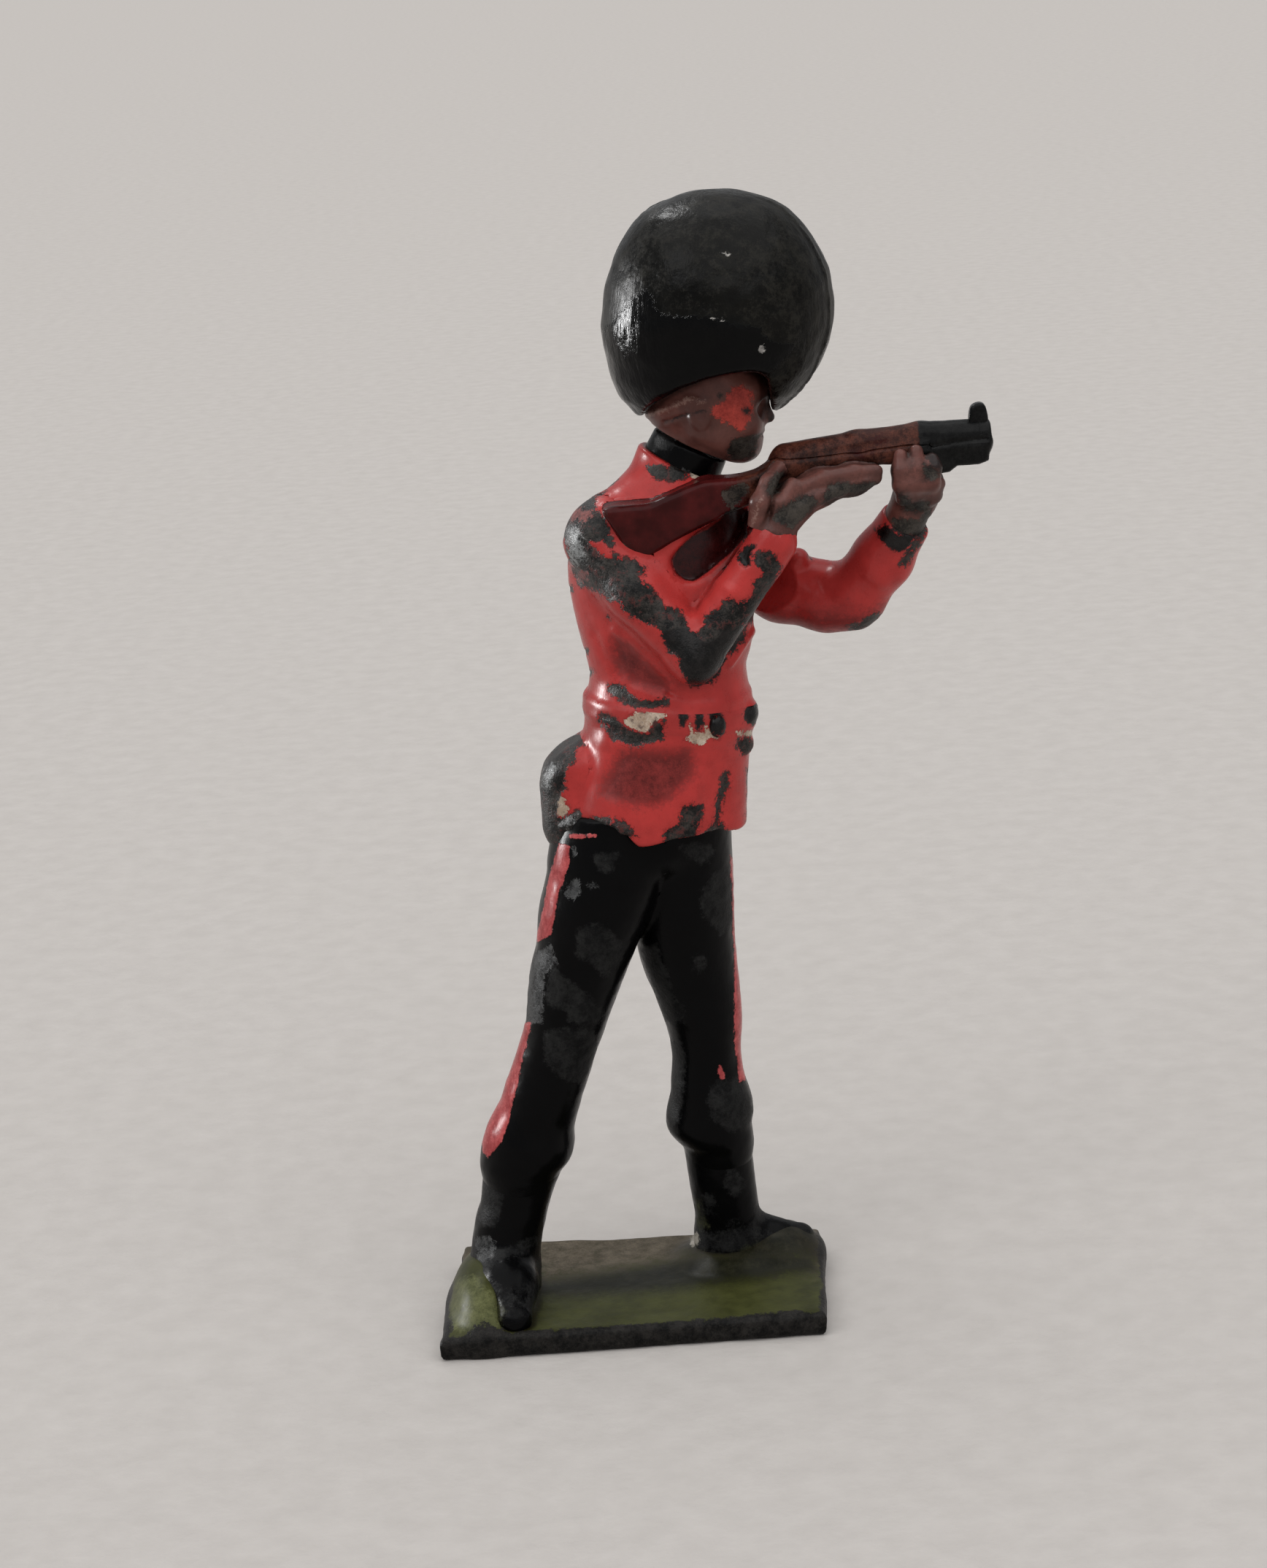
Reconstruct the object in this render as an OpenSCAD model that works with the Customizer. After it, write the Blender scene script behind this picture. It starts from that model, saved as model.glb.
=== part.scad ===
// Toy soldier figure: a guardsman standing and aiming a rifle, built as a
// sectional metal casting. Millimetres, +Z up, +X the way the rifle points,
// -Y the figure's right-hand side. The origin is the centre of the underside
// of the ground slab.

/* [Ground slab] */
// Length of the slab along the line of fire
base_w = 21; // [20.6:0.1:22]
// Depth of the slab
base_d = 12.6; // [12.4:0.1:14]
// Thickness of the slab
base_t = 1.4; // [1.3:0.1:1.8]
// Corner radius of the slab in plan
base_corner = 0.8; // [0.4:0.1:1.2]

/* [Joints] */
// Radius of the pegs under the boots
foot_peg_r = 0.7; // [0.5:0.05:0.8]
// Radius of the spigots that join boots to trouser legs
leg_spigot_r = 1.1; // [0.8:0.05:1.2]
// Outer radius of the tube that joins trousers, skirt, belt and tunic
waist_r = 2.4; // [2:0.1:2.6]
// Radius of the pin that the head turns on
neck_pin_r = 0.8; // [0.6:0.05:0.9]
// Radius of the shoulder studs
stud_r = 0.8; // [0.6:0.05:0.9]
// Radial clearance of a fixed peg in its hole
fit_gap = 0.03; // [0.02:0.01:0.06]
// Radial clearance of a hole that turns on its pin
run_gap = 0.05; // [0.03:0.01:0.08]

/* [Head and cap] */
// Forward lean of the neck in degrees
neck_lean = 28; // [24:1:32]
// Radius of the stand collar
collar_r = 2.05; // [1.9:0.05:2.1]
// Height of the stand collar
collar_h = 1.2; // [1:0.1:1.3]
// Gap between the collar and the head that turns on it
head_gap = 0.12; // [0.08:0.02:0.2]
// Largest radius of the fur cap
cap_r = 6.1; // [5.8:0.1:6.3]
// Height of the fur cap from nape to crown
cap_h = 11.8; // [11.4:0.1:12]
// Forward lean of the fur cap in degrees
cap_lean = 6; // [4:1:8]

/* [Rifle] */
// Thickness of the rifle's wooden stock
stock_t = 1.9; // [1.6:0.1:2.1]
// Radius of the barrel
barrel_r = 0.8; // [0.7:0.05:0.85]
// Radius of the muzzle hole
muzzle_r = 0.35; // [0.25:0.05:0.4]
// Turn of the rifle away from the slab's long side, in degrees
rifle_yaw = 8.5; // [7.5:0.5:9]

/* [Hidden] */
$fn = 48;

red = [0.72, 0.11, 0.09];
black = [0.03, 0.03, 0.035];
green = [0.22, 0.25, 0.1];
flesh = [0.42, 0.24, 0.2];
brown = [0.24, 0.09, 0.06];
white = [0.72, 0.64, 0.52];
lead = [0.28, 0.29, 0.29];

// Planes where one casting stops and the next begins
boot_top = 8.6;
skirt_low = 27.8;
belt_low = 34.3;
belt_high = 35.6;
tube_low = 26.4;
tube_high = 41;

// Where the collar's middle, the left shoulder and the right shoulder are
neck = [5.5, 0, 48.8];
left_pivot = [7.6, 2.8, 42.2];
right_pivot = [1.1, -2.4, 45.1];

// Middles of the boot soles' pegs, and of the leg spigots
right_peg = [-7.3, -1.6];
left_peg = [5.6, 3.3];
right_leg_xy = [-6.05, 0];
left_leg_xy = [4.8, 2.6];

// Sections of the lofted castings: [z, x, y, half width, half depth]
right_leg_secs = [[8.6, -6.1, 0, 2.2, 2.3], [9.3, -5.9, 0, 2.6, 2.6],
    [10.4, -5.75, 0, 2.6, 2.65], [12, -5.25, -0.1, 2.5, 2.6],
    [14, -4.45, -0.2, 2.4, 2.5], [17, -3.25, -0.4, 2.4, 2.6],
    [20.3, -2.2, -0.5, 2.65, 2.85], [24, -1.1, -0.5, 2.9, 3.2],
    [26, -0.5, -0.3, 3.0, 3.4], [27.8, 0, 0, 3.2, 3.5]];
left_leg_secs = [[8.6, 4.85, 2.6, 1.95, 2.1], [9.3, 4.65, 2.55, 2.35, 2.45],
    [10.4, 4.55, 2.5, 2.45, 2.5], [12, 4.6, 2.4, 2.35, 2.5],
    [14.5, 4.7, 2.2, 2.1, 2.4], [17, 4.6, 2.0, 2.2, 2.5],
    [19.4, 4.15, 1.8, 2.55, 2.75], [23, 3.95, 1.2, 2.8, 3.1],
    [26, 3.8, 0.6, 3.0, 3.4], [27.8, 3.6, 0.2, 3.2, 3.5]];
right_shaft_secs = [[1.4, -7.6, -0.4, 2.0, 2.3], [3.2, -7.7, -0.3, 2.05, 2.3],
    [4.6, -7.4, -0.2, 2.1, 2.3], [6, -6.95, 0, 2.15, 2.3],
    [8.6, -6.1, 0, 2.2, 2.3]];
left_shaft_secs = [[1.4, 5.2, 3.3, 2.0, 1.9], [3.4, 5.15, 3.2, 1.9, 1.9],
    [5, 5.05, 3.1, 1.9, 2.0], [7, 4.9, 2.8, 1.95, 2.0],
    [8.6, 4.85, 2.6, 1.95, 2.1]];
skirt_secs = [[27.8, 2.2, 0.2, 5.3, 4.3], [29.2, 2.4, 0.2, 5.3, 4.3],
    [31, 2.9, 0.1, 5.0, 4.2], [32.4, 3.35, 0, 4.7, 4.1],
    [34.3, 3.72, 0, 4.58, 4.1]];
belt_secs = [[34.3, 3.72, 0, 4.4, 3.92], [34.95, 3.76, 0, 4.4, 3.92],
    [35.6, 3.8, 0, 4.4, 3.92]];
tunic_secs = [[35.6, 3.8, 0, 4.55, 4.08], [36.3, 3.78, 0, 4.4, 3.95],
    [37.5, 3.82, 0, 4.28, 3.8], [39.5, 3.85, 0, 4.5, 4.0],
    [42, 3.95, 0, 5.05, 4.2], [44, 4.15, 0, 5.2, 4.1],
    [45.5, 4.4, 0, 4.9, 3.7], [46.7, 4.7, 0, 4.0, 3.1],
    [47.7, 5.0, 0, 3.0, 2.6], [48.6, 4.9, 0, 2.3, 2.2],
    [49.6, 4.6, 0, 1.9, 1.9]];

// Fur cap's radius against its height, as shares of its largest size
cap_profile = [[0, 0.5], [0.05, 0.6], [0.15, 0.8], [0.3, 0.95],
    [0.45, 1], [0.6, 0.98], [0.75, 0.87], [0.87, 0.66], [0.95, 0.42],
    [0.99, 0.18], [1, 0]];

// Outline of the rifle's stock, seen from the side: [x, z]
stock_line = [[1.0, 46.4], [1.9, 45.2], [3.4, 44.2], [5.3, 45.0], [7.2, 45.7],
    [9.0, 46.1], [10.9, 46.8], [13.5, 47.5], [15.6, 47.75], [18.3, 47.8],
    [18.3, 49.55], [15.9, 49.45], [12.1, 49.15], [10.9, 48.75], [10.1, 48.25],
    [8.9, 47.65], [8.0, 47.45], [5.3, 47.3]];

// Catmull-Rom point between sections i and i+1
function blend(s, i, t) =
    let (n = len(s) - 1, a = s[max(i - 1, 0)], b = s[i], c = s[i + 1], d = s[min(i + 2, n)])
    0.5 * (2 * b + (c - a) * t + (2 * a - 5 * b + 4 * c - d) * t * t
        + (3 * b - a - 3 * c + d) * t * t * t);
function finer(s, k) = concat(
    [for (i = [0 : len(s) - 2]) for (j = [0 : k - 1]) blend(s, i, j / k)],
    [s[len(s) - 1]]);

// Solid through elliptical level sections, grown sideways by g
module loft(secs, g = 0, n = 28, k = 2) {
    s = finer(secs, k);
    m = len(s);
    pts = [for (q = s) for (i = [0 : n - 1])
        [q[1] + (q[3] + g) * cos(360 * i / n), q[2] + (q[4] + g) * sin(360 * i / n), q[0]]];
    polyhedron(pts, concat(
        [[for (i = [0 : n - 1]) i]],
        [[for (i = [n - 1 : -1 : 0]) (m - 1) * n + i]],
        [for (r = [0 : m - 2]) for (i = [0 : n - 1])
            let (a = r * n + i, b = r * n + (i + 1) % n)
            each [[a, a + n, b + n], [a, b + n, b]]]));
}

// Several carved shapes taken as one surface
module carved() { resize([0, 0, 0]) union() children(); }

module ball(p, r) { translate(p) sphere(r, $fn = 28); }
module limb(p, r, q, s) { hull() { ball(p, r); ball(q, s); } }

// Frame of the neck: its Z runs up the leaning neck from the collar's middle
module at_neck() { translate(neck) rotate([0, neck_lean, 0]) children(); }
// Frame of the rifle: drawn in the X-Z plane, turned about the butt
module at_rifle() {
    translate([2.2, -3.5, 0]) rotate([0, 0, rifle_yaw]) translate([-2.2, 0, 0]) children();
}
module along_y(p, r, h) { translate(p) rotate([-90, 0, 0]) cylinder(r = r, h = h); }
module barrel_line(r, from, to) {
    at_rifle() translate([12, 0, 48.42]) rotate([0, 90 - 3.2, 0])
        translate([0, 0, from]) cylinder(r = r, h = to - from);
}

// ---------------------------------------------------------------- ground slab
module slab_plan(inset = 0) {
    offset(r = base_corner) square([base_w - 2 * base_corner - 2 * inset,
        base_d - 2 * base_corner - 2 * inset], center = true);
}
module base_plate() {
    color(green) difference() {
        union() {
            linear_extrude(base_t - 0.3) slab_plan();
            translate([0, 0, base_t - 0.3]) linear_extrude(0.3) slab_plan(0.2);
        }
        for (p = [right_peg, left_peg])
            translate([p[0], p[1], base_t - 0.9]) cylinder(r = foot_peg_r + fit_gap, h = 3);
    }
}

// ---------------------------------------------------------------------- boots
module above(z) { translate([-30, -30, z]) cube([60, 60, 40]); }
module below(z) { translate([-30, -30, z - 40]) cube([60, 60, 40]); }

module right_boot() {
    color(black) {
        carved() difference() {
            union() {
                loft(right_shaft_secs);
                hull() {
                    ball([-7.5, 0.4, 2.6], 1.6);
                    ball([-7.2, -4.3, 2.3], 1.5);
                    ball([-7.3, -3.2, 2.9], 1.4);
                }
            }
            below(base_t);
        }
        translate([right_peg[0], right_peg[1], base_t - 0.8]) cylinder(r = foot_peg_r, h = 1.6);
        translate([right_leg_xy[0], right_leg_xy[1], boot_top - 0.8]) cylinder(r = leg_spigot_r, h = 2.6);
    }
}
module left_boot() {
    color(black) {
        carved() difference() {
            union() {
                loft(left_shaft_secs);
                hull() {
                    ball([4.8, 3.3, 2.5], 1.6);
                    ball([8.7, 3.6, 2.2], 1.4);
                    ball([7.2, 3.5, 2.7], 1.4);
                }
            }
            below(base_t);
        }
        translate([left_peg[0], left_peg[1], base_t - 0.8]) cylinder(r = foot_peg_r, h = 1.6);
        translate([left_leg_xy[0], left_leg_xy[1], boot_top - 0.8]) cylinder(r = leg_spigot_r, h = 2.6);
    }
}

// ------------------------------------------------------------ trousers, skirt
module waist_bore() {
    translate([2.9, 0, tube_low]) cylinder(r = waist_r + fit_gap, h = tube_high - tube_low + 0.2);
}
module seat_seam(side) {
    translate([1.5 + (side > 0 ? 0 : -40), -30, 0]) cube([40, 60, 60]);
}
module right_trouser_leg() {
    color(black) difference() {
        carved() difference() {
            union() { loft(right_leg_secs); limb([1.5, 0.3, 25], 2.5, [1.4, 0.5, 23.4], 2.1); }
            seat_seam(1);
        }
        waist_bore();
        translate([right_leg_xy[0], right_leg_xy[1], boot_top - 1]) cylinder(r = leg_spigot_r + fit_gap, h = 3);
    }
}
module left_trouser_leg() {
    color(black) difference() {
        carved() difference() {
            union() { loft(left_leg_secs); limb([1.5, 0.3, 25], 2.5, [1.4, 0.5, 23.4], 2.1); }
            seat_seam(-1);
        }
        waist_bore();
        translate([left_leg_xy[0], left_leg_xy[1], boot_top - 1]) cylinder(r = leg_spigot_r + fit_gap, h = 3);
    }
}
module tunic_skirt() {
    color(red) difference() { loft(skirt_secs); waist_bore(); }
}
module rear_pouch() {
    color(red) carved() difference() {
        hull() {
            ball([-2.1, 0.4, 32.9], 1.2);
            ball([-2.3, 0.4, 29.6], 1.2);
            ball([-1.2, -2.0, 32.5], 1.1);
            ball([-1.5, -1.8, 29.8], 1.1);
            ball([-1.2, 2.4, 32.5], 1.1);
            ball([-1.5, 2.4, 29.8], 1.1);
        }
        loft(skirt_secs, 0.02);
        above(belt_low);
    }
}
module waist_belt() {
    color(white) difference() { loft(belt_secs, 0, 40, 1); waist_bore(); }
}
module belt_buckle() {
    color(white) carved() difference() {
        translate([7.15, -2.65, (belt_low + belt_high) / 2]) rotate([0, 0, 45])
            translate([0, -0.2, 0]) rotate([90, 0, 0]) linear_extrude(0.7)
                offset(r = 0.25) square([1.5, 0.9], center = true);
        loft(belt_secs, 0.02, 40, 1);
    }
}
module waist_tube() {
    color(lead) translate([2.9, 0, tube_low]) difference() {
        cylinder(r = waist_r, h = tube_high - tube_low);
        translate([0, 0, -1]) cylinder(r = waist_r - 0.9, h = tube_high - tube_low + 2);
    }
}

// ---------------------------------------------------------------------- tunic
module tunic_shape(g = 0) { loft(tunic_secs, g, 36, 2); }
module tunic_body() {
    color(red) difference() {
        tunic_shape();
        at_neck() translate([0, 0, -collar_h / 2]) cylinder(r = 4.5, h = 6);
        at_neck() translate([0, 0, -4.2]) cylinder(r = neck_pin_r + fit_gap, h = 6);
        waist_bore();
        along_y([left_pivot[0], left_pivot[1], left_pivot[2]], 2.3, 6);
        along_y([left_pivot[0], left_pivot[1] - 2.3, left_pivot[2]], stud_r + fit_gap, 6);
        along_y([right_pivot[0], right_pivot[1] - 6, right_pivot[2]], stud_r + fit_gap, 7.2);
    }
}
module collar() {
    color(black) at_neck() difference() {
        translate([0, 0, -collar_h / 2]) cylinder(r = collar_r, h = collar_h);
        translate([0, 0, -2]) cylinder(r = neck_pin_r + fit_gap, h = 4);
    }
}
module neck_pin() {
    color(lead) at_neck() translate([0, 0, -4]) cylinder(r = neck_pin_r, h = 7.4);
}

// --------------------------------------------------------------- head and cap
module skull(g = 0) {
    hull() {
        ball([7.1, 0, 53.4], 2.7 + g);
        ball([8.1, 0, 50.3], 1.6 + g);
        ball([5.7, 0, 51.1], 1.8 + g);
        at_neck() translate([0, 0, 0.5]) cylinder(r = 1.85 + g, h = 0.8, $fn = 32);
    }
}
module head() {
    color(flesh) difference() {
        carved() difference() {
            union() {
                skull();
                hull() { ball([9.3, 0, 51.9], 0.45); ball([10.0, 0, 50.5], 0.42); ball([9.2, 0, 50.3], 0.6); }
                ball([9.0, 0, 49.0], 0.85);
                for (s = [-1, 1]) hull() { ball([6.4, s * 2.3, 52.3], 0.5); ball([6.2, s * 2.2, 51.1], 0.4); }
            }
            at_neck() translate([-10, -10, collar_h / 2 + head_gap - 20]) cube(20);
        }
        at_neck() translate([0, 0, -1]) cylinder(r = neck_pin_r + run_gap, h = 4.6);
    }
}
module cap_solid() {
    translate([6.75, 0, 50.8]) rotate([0, cap_lean, 0]) rotate_extrude($fn = 48)
        polygon(concat([[0, 0]], [for (p = finer(cap_profile, 2)) [max(p[1], 0) * cap_r, min(p[0], 1) * cap_h]]));
}
module bearskin_cap() {
    color(black) carved() difference() {
        cap_solid();
        rotate([90, 0, 0]) translate([0, 0, -10]) linear_extrude(20)
            polygon([[3.4, 50.7], [5.2, 51.9], [7.2, 52.7], [9.6, 53.1], [10.1, 52.6],
                [10.4, 51.4], [11, 49], [3, 49]]);
        skull(0.02);
        for (s = [-1, 1]) hull() { ball([6.4, s * 2.3, 52.3], 0.53); ball([6.2, s * 2.2, 51.1], 0.43); }
    }
}

// ----------------------------------------------------------------------- arms
module right_sleeve(g = 0) {
    limb([0.9, -2.7, 45.2], 1.95 + g, [5.0, -4.9, 38.9], 1.75 + g);
    limb([5.0, -4.9, 38.9], 1.75 + g, [9.2, -4.0, 43.4], 1.45 + g);
}
module right_arm() {
    color(red) difference() {
        carved() difference() {
            right_sleeve();
            tunic_shape(0.02);
            loft(belt_secs, 0.05, 40, 1);
        }
        along_y([right_pivot[0], right_pivot[1] - 1.2, right_pivot[2]], stud_r + fit_gap, 4);
    }
}
module stock_solid(g = 0) {
    at_rifle() translate([0, (stock_t + 2 * g) / 2, 0]) rotate([90, 0, 0])
        linear_extrude(stock_t + 2 * g) offset(delta = g) polygon(stock_line);
}
module right_hand() {
    color(flesh) carved() difference() {
        union() {
            limb([9.3, -3.95, 43.6], 1.15, [10.6, -3.3, 45.9], 1.25);
            limb([10.6, -3.1, 45.9], 1.25, [14.8, -2.2, 46.9], 0.85);
        }
        right_sleeve(0.02);
        stock_solid(0.02);
        tunic_shape(0.02);
    }
}
module right_shoulder_stud() {
    color(lead) along_y([right_pivot[0], right_pivot[1] - 1.1, right_pivot[2]], stud_r, 2.2);
}
module left_shoulder_stud() {
    color(lead) {
        along_y([left_pivot[0], left_pivot[1] - 2.1, left_pivot[2]], stud_r, 4.6);
        along_y([left_pivot[0], left_pivot[1] + 2.35, left_pivot[2]], 1.35, 0.6);
    }
}
module left_sleeve() {
    limb([8.3, 4.1, 41.9], 1.5, [13.9, 2.9, 40.05], 1.75);
    limb([13.9, 2.9, 40.05], 1.75, [16.9, 0.3, 44.3], 1.4);
}
module left_arm() {
    color(red) difference() {
        union() {
            carved() difference() {
                left_sleeve();
                along_y([left_pivot[0], left_pivot[1] - 3, left_pivot[2]], 1.9, 8);
            }
            along_y([left_pivot[0], left_pivot[1] + 0.15, left_pivot[2]], 2, 2.1);
        }
        along_y([left_pivot[0], left_pivot[1] - 1, left_pivot[2]], stud_r + run_gap, 6);
        translate([16.9, 0.3, 44.3]) rotate([0, 20, -35]) translate([0, 0, -1.2]) cylinder(r = 0.63, h = 4);
    }
}
module left_hand() {
    color(flesh) {
        carved() difference() {
            union() {
                limb([17.0, 0.2, 44.6], 1.15, [17.7, -0.8, 46.2], 1.15);
                limb([17.7, -0.9, 46.2], 1.15, [18.2, -1.4, 46.4], 0.95);
            }
            limb([13.9, 2.9, 40.05], 1.77, [16.9, 0.3, 44.3], 1.42);
            stock_solid(0.2);
        }
        translate([16.9, 0.3, 44.3]) rotate([0, 20, -35]) translate([0, 0, -1]) cylinder(r = 0.6, h = 2.8);
    }
}

// ---------------------------------------------------------------------- rifle
module rifle_stock() {
    color(brown) difference() {
        carved() difference() {
            stock_solid();
            tunic_shape(0.02);
            right_sleeve(0.02);
        }
        barrel_line(barrel_r + 0.02, 0, 12);
    }
}
module rifle_barrel() {
    color(black) difference() {
        barrel_line(barrel_r, 0.1, 9.75);
        barrel_line(muzzle_r, 7.5, 11);
    }
}
module nose_cap() {
    color(black) difference() {
        at_rifle() translate([0, 0.75, 0]) rotate([90, 0, 0]) linear_extrude(1.5)
            polygon([[18.32, 47.5], [21.2, 47.5], [21.45, 47.8], [21.45, 48.9], [18.32, 48.8]]);
        barrel_line(barrel_r + 0.02, 0, 12);
    }
}
module front_sight() {
    color(black) difference() {
        at_rifle() translate([0, 0.35, 0]) rotate([90, 0, 0]) linear_extrude(0.7)
            polygon([[20.5, 49.2], [20.75, 50.5], [21.0, 50.75], [21.3, 50.5], [21.4, 49.2]]);
        barrel_line(barrel_r, 0, 12);
    }
}

base_plate();
right_boot();
left_boot();
right_trouser_leg();
left_trouser_leg();
tunic_skirt();
rear_pouch();
waist_belt();
belt_buckle();
waist_tube();
tunic_body();
collar();
neck_pin();
head();
bearskin_cap();
right_arm();
right_hand();
right_shoulder_stud();
left_shoulder_stud();
left_arm();
left_hand();
rifle_stock();
rifle_barrel();
nose_cap();
front_sight();
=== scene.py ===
import math

import bpy
import numpy as np
from mathutils import Matrix


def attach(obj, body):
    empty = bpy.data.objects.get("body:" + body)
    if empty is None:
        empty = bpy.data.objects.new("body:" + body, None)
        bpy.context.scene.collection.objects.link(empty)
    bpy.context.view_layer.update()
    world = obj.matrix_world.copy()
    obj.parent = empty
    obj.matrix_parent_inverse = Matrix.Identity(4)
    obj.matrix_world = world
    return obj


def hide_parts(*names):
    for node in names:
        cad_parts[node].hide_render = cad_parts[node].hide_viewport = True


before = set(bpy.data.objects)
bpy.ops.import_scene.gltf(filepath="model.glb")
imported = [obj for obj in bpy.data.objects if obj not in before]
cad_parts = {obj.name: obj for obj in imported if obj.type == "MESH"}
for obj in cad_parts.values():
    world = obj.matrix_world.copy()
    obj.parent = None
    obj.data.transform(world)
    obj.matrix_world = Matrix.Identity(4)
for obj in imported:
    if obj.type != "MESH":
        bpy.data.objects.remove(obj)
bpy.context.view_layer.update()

# Old painted cast toy guardsman. Every casting is sculpted as a distance field in millimetres,
# meshed, and written in metres in the frame of the imported model. Paint losses, drips and wear,
# and painted shade, shadow and highlights, are vertex fields made from strokes laid on the sculpted surface.

MM = 0.001
V3 = lambda *a: np.array(a, dtype=np.float64)


# ------------------------------------------------------------------ camera of the picture
CAM_POS = V3(7.3, -173.5, 79.2)
CAM_YAW, CAM_PITCH, CAM_ROLL = math.radians(-1.9), math.radians(15.6), math.radians(-3.75)
CAM_F, PIC_W, PIC_H = 4511.0, 1736.0, 2148.0
CAM_FW = V3(math.sin(CAM_YAW) * math.cos(CAM_PITCH), math.cos(CAM_YAW) * math.cos(CAM_PITCH), -math.sin(CAM_PITCH))
_r = np.cross(CAM_FW, V3(0, 0, 1)); _r /= np.linalg.norm(_r)
_u = np.cross(_r, CAM_FW)
CAM_R = math.cos(CAM_ROLL) * _r + math.sin(CAM_ROLL) * _u
CAM_U = -math.sin(CAM_ROLL) * _r + math.cos(CAM_ROLL) * _u


# ------------------------------------------------------------------ noise
def _hash(ix, iy, iz, seed):
    h = (ix.astype(np.int64) * 374761393 + iy.astype(np.int64) * 668265263 + iz.astype(np.int64) * 2147483647 + seed * 974634777) & 0xFFFFFFFF
    h = ((h ^ (h >> 13)) * 1274126177) & 0xFFFFFFFF
    h = (h ^ (h >> 16)) & 0xFFFFFF
    return h / float(0x7FFFFF) - 1.0


def noise(P, scale, seed=0):
    """Smooth value noise in -1..1, features about `scale` mm."""
    Q = P / scale + 100.37
    I = np.floor(Q)
    F = Q - I
    F = F * F * (3 - 2 * F)
    ix, iy, iz = I[:, 0], I[:, 1], I[:, 2]
    out = 0.0
    for dx in (0, 1):
        wx = F[:, 0] if dx else 1 - F[:, 0]
        for dy in (0, 1):
            wy = F[:, 1] if dy else 1 - F[:, 1]
            for dz in (0, 1):
                wz = F[:, 2] if dz else 1 - F[:, 2]
                out = out + wx * wy * wz * _hash(ix + dx, iy + dy, iz + dz, seed)
    return out


def fbm(P, scale, seed=0, octaves=3):
    out, a = 0.0, 1.0
    for k in range(octaves):
        out = out + a * noise(P, scale / 2 ** k, seed + 17 * k)
        a *= 0.5
    return out / (2 - 0.5 ** (octaves - 1))


# ------------------------------------------------------------------ distance fields (mm)
def smin(a, b, k):
    h = np.maximum(k - np.abs(a - b), 0.0) / k
    return np.minimum(a, b) - h * h * k * 0.25


def smax(a, b, k):
    return -smin(-a, -b, k)


def length(P):
    return np.sqrt((P * P).sum(1))


def ball(P, c, r):
    return length(P - V3(*c)) - r


def ellipsoid(P, c, r):
    Q = P - V3(*c)
    r = V3(*r)
    k0 = length(Q / r)
    k1 = length(Q / (r * r))
    return np.where(k1 > 1e-9, k0 * (k0 - 1.0) / np.maximum(k1, 1e-9), -r.min())


def cone(P, a, ra, b, rb):
    """Capsule whose radius goes from ra at a to rb at b."""
    a, b = V3(*a), V3(*b)
    d = b - a
    t = np.clip(((P - a) @ d) / (d @ d), 0.0, 1.0)
    return length(P - a - t[:, None] * d) - (ra + (rb - ra) * t)


def chain(P, pts, k=0.4):
    """Blended capsules through (x, y, z, r) points."""
    out = None
    for p, q in zip(pts[:-1], pts[1:]):
        d = cone(P, p[:3], p[3], q[:3], q[3])
        out = d if out is None else smin(out, d, k)
    return out


def polygon2(x, y, pts):
    """Exact signed distance to a closed polygon, negative inside."""
    pts = np.asarray(pts, dtype=np.float64)
    best = np.full(x.shape, 1e18)
    inside = np.zeros(x.shape, dtype=bool)
    n = len(pts)
    for i in range(n):
        ax, ay = pts[i]
        bx, by = pts[(i + 1) % n]
        ex, ey = bx - ax, by - ay
        wx, wy = x - ax, y - ay
        t = np.clip((wx * ex + wy * ey) / max(ex * ex + ey * ey, 1e-12), 0, 1)
        dx, dy = wx - ex * t, wy - ey * t
        best = np.minimum(best, dx * dx + dy * dy)
        cond = (ay > y) != (by > y)
        if abs(ey) > 1e-12:
            inside ^= cond & (x < ex * (y - ay) / ey + ax)
    return np.sqrt(best) * np.where(inside, -1.0, 1.0)


def round_join(d2, dz, r):
    """A flat shape of signed distance d2, thickened to signed distance dz, edges rounded by r."""
    a, b = d2 + r, dz + r
    return np.minimum(np.maximum(a, b), 0) + np.sqrt(np.maximum(a, 0) ** 2 + np.maximum(b, 0) ** 2) - r


def box(P, c, half, r):
    Q = np.abs(P - V3(*c)) - (V3(*half) - r)
    return length(np.maximum(Q, 0)) + np.minimum(Q.max(1), 0) - r


def smooth_curve(pts, n=8, closed=False):
    """Catmull-Rom points through pts."""
    pts = np.asarray(pts, dtype=np.float64)
    m = len(pts)
    out = []
    for i in range(m if closed else m - 1):
        if closed:
            p0, p1, p2, p3 = pts[(i - 1) % m], pts[i], pts[(i + 1) % m], pts[(i + 2) % m]
        else:
            p0, p1, p2, p3 = pts[max(i - 1, 0)], pts[i], pts[i + 1], pts[min(i + 2, m - 1)]
        for k in range(n):
            t = k / n
            out.append(0.5 * (2 * p1 + (p2 - p0) * t + (2 * p0 - 5 * p1 + 4 * p2 - p3) * t * t + (3 * p1 - p0 - 3 * p2 + p3) * t ** 3))
    if not closed:
        out.append(pts[-1])
    return np.array(out)


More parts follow.
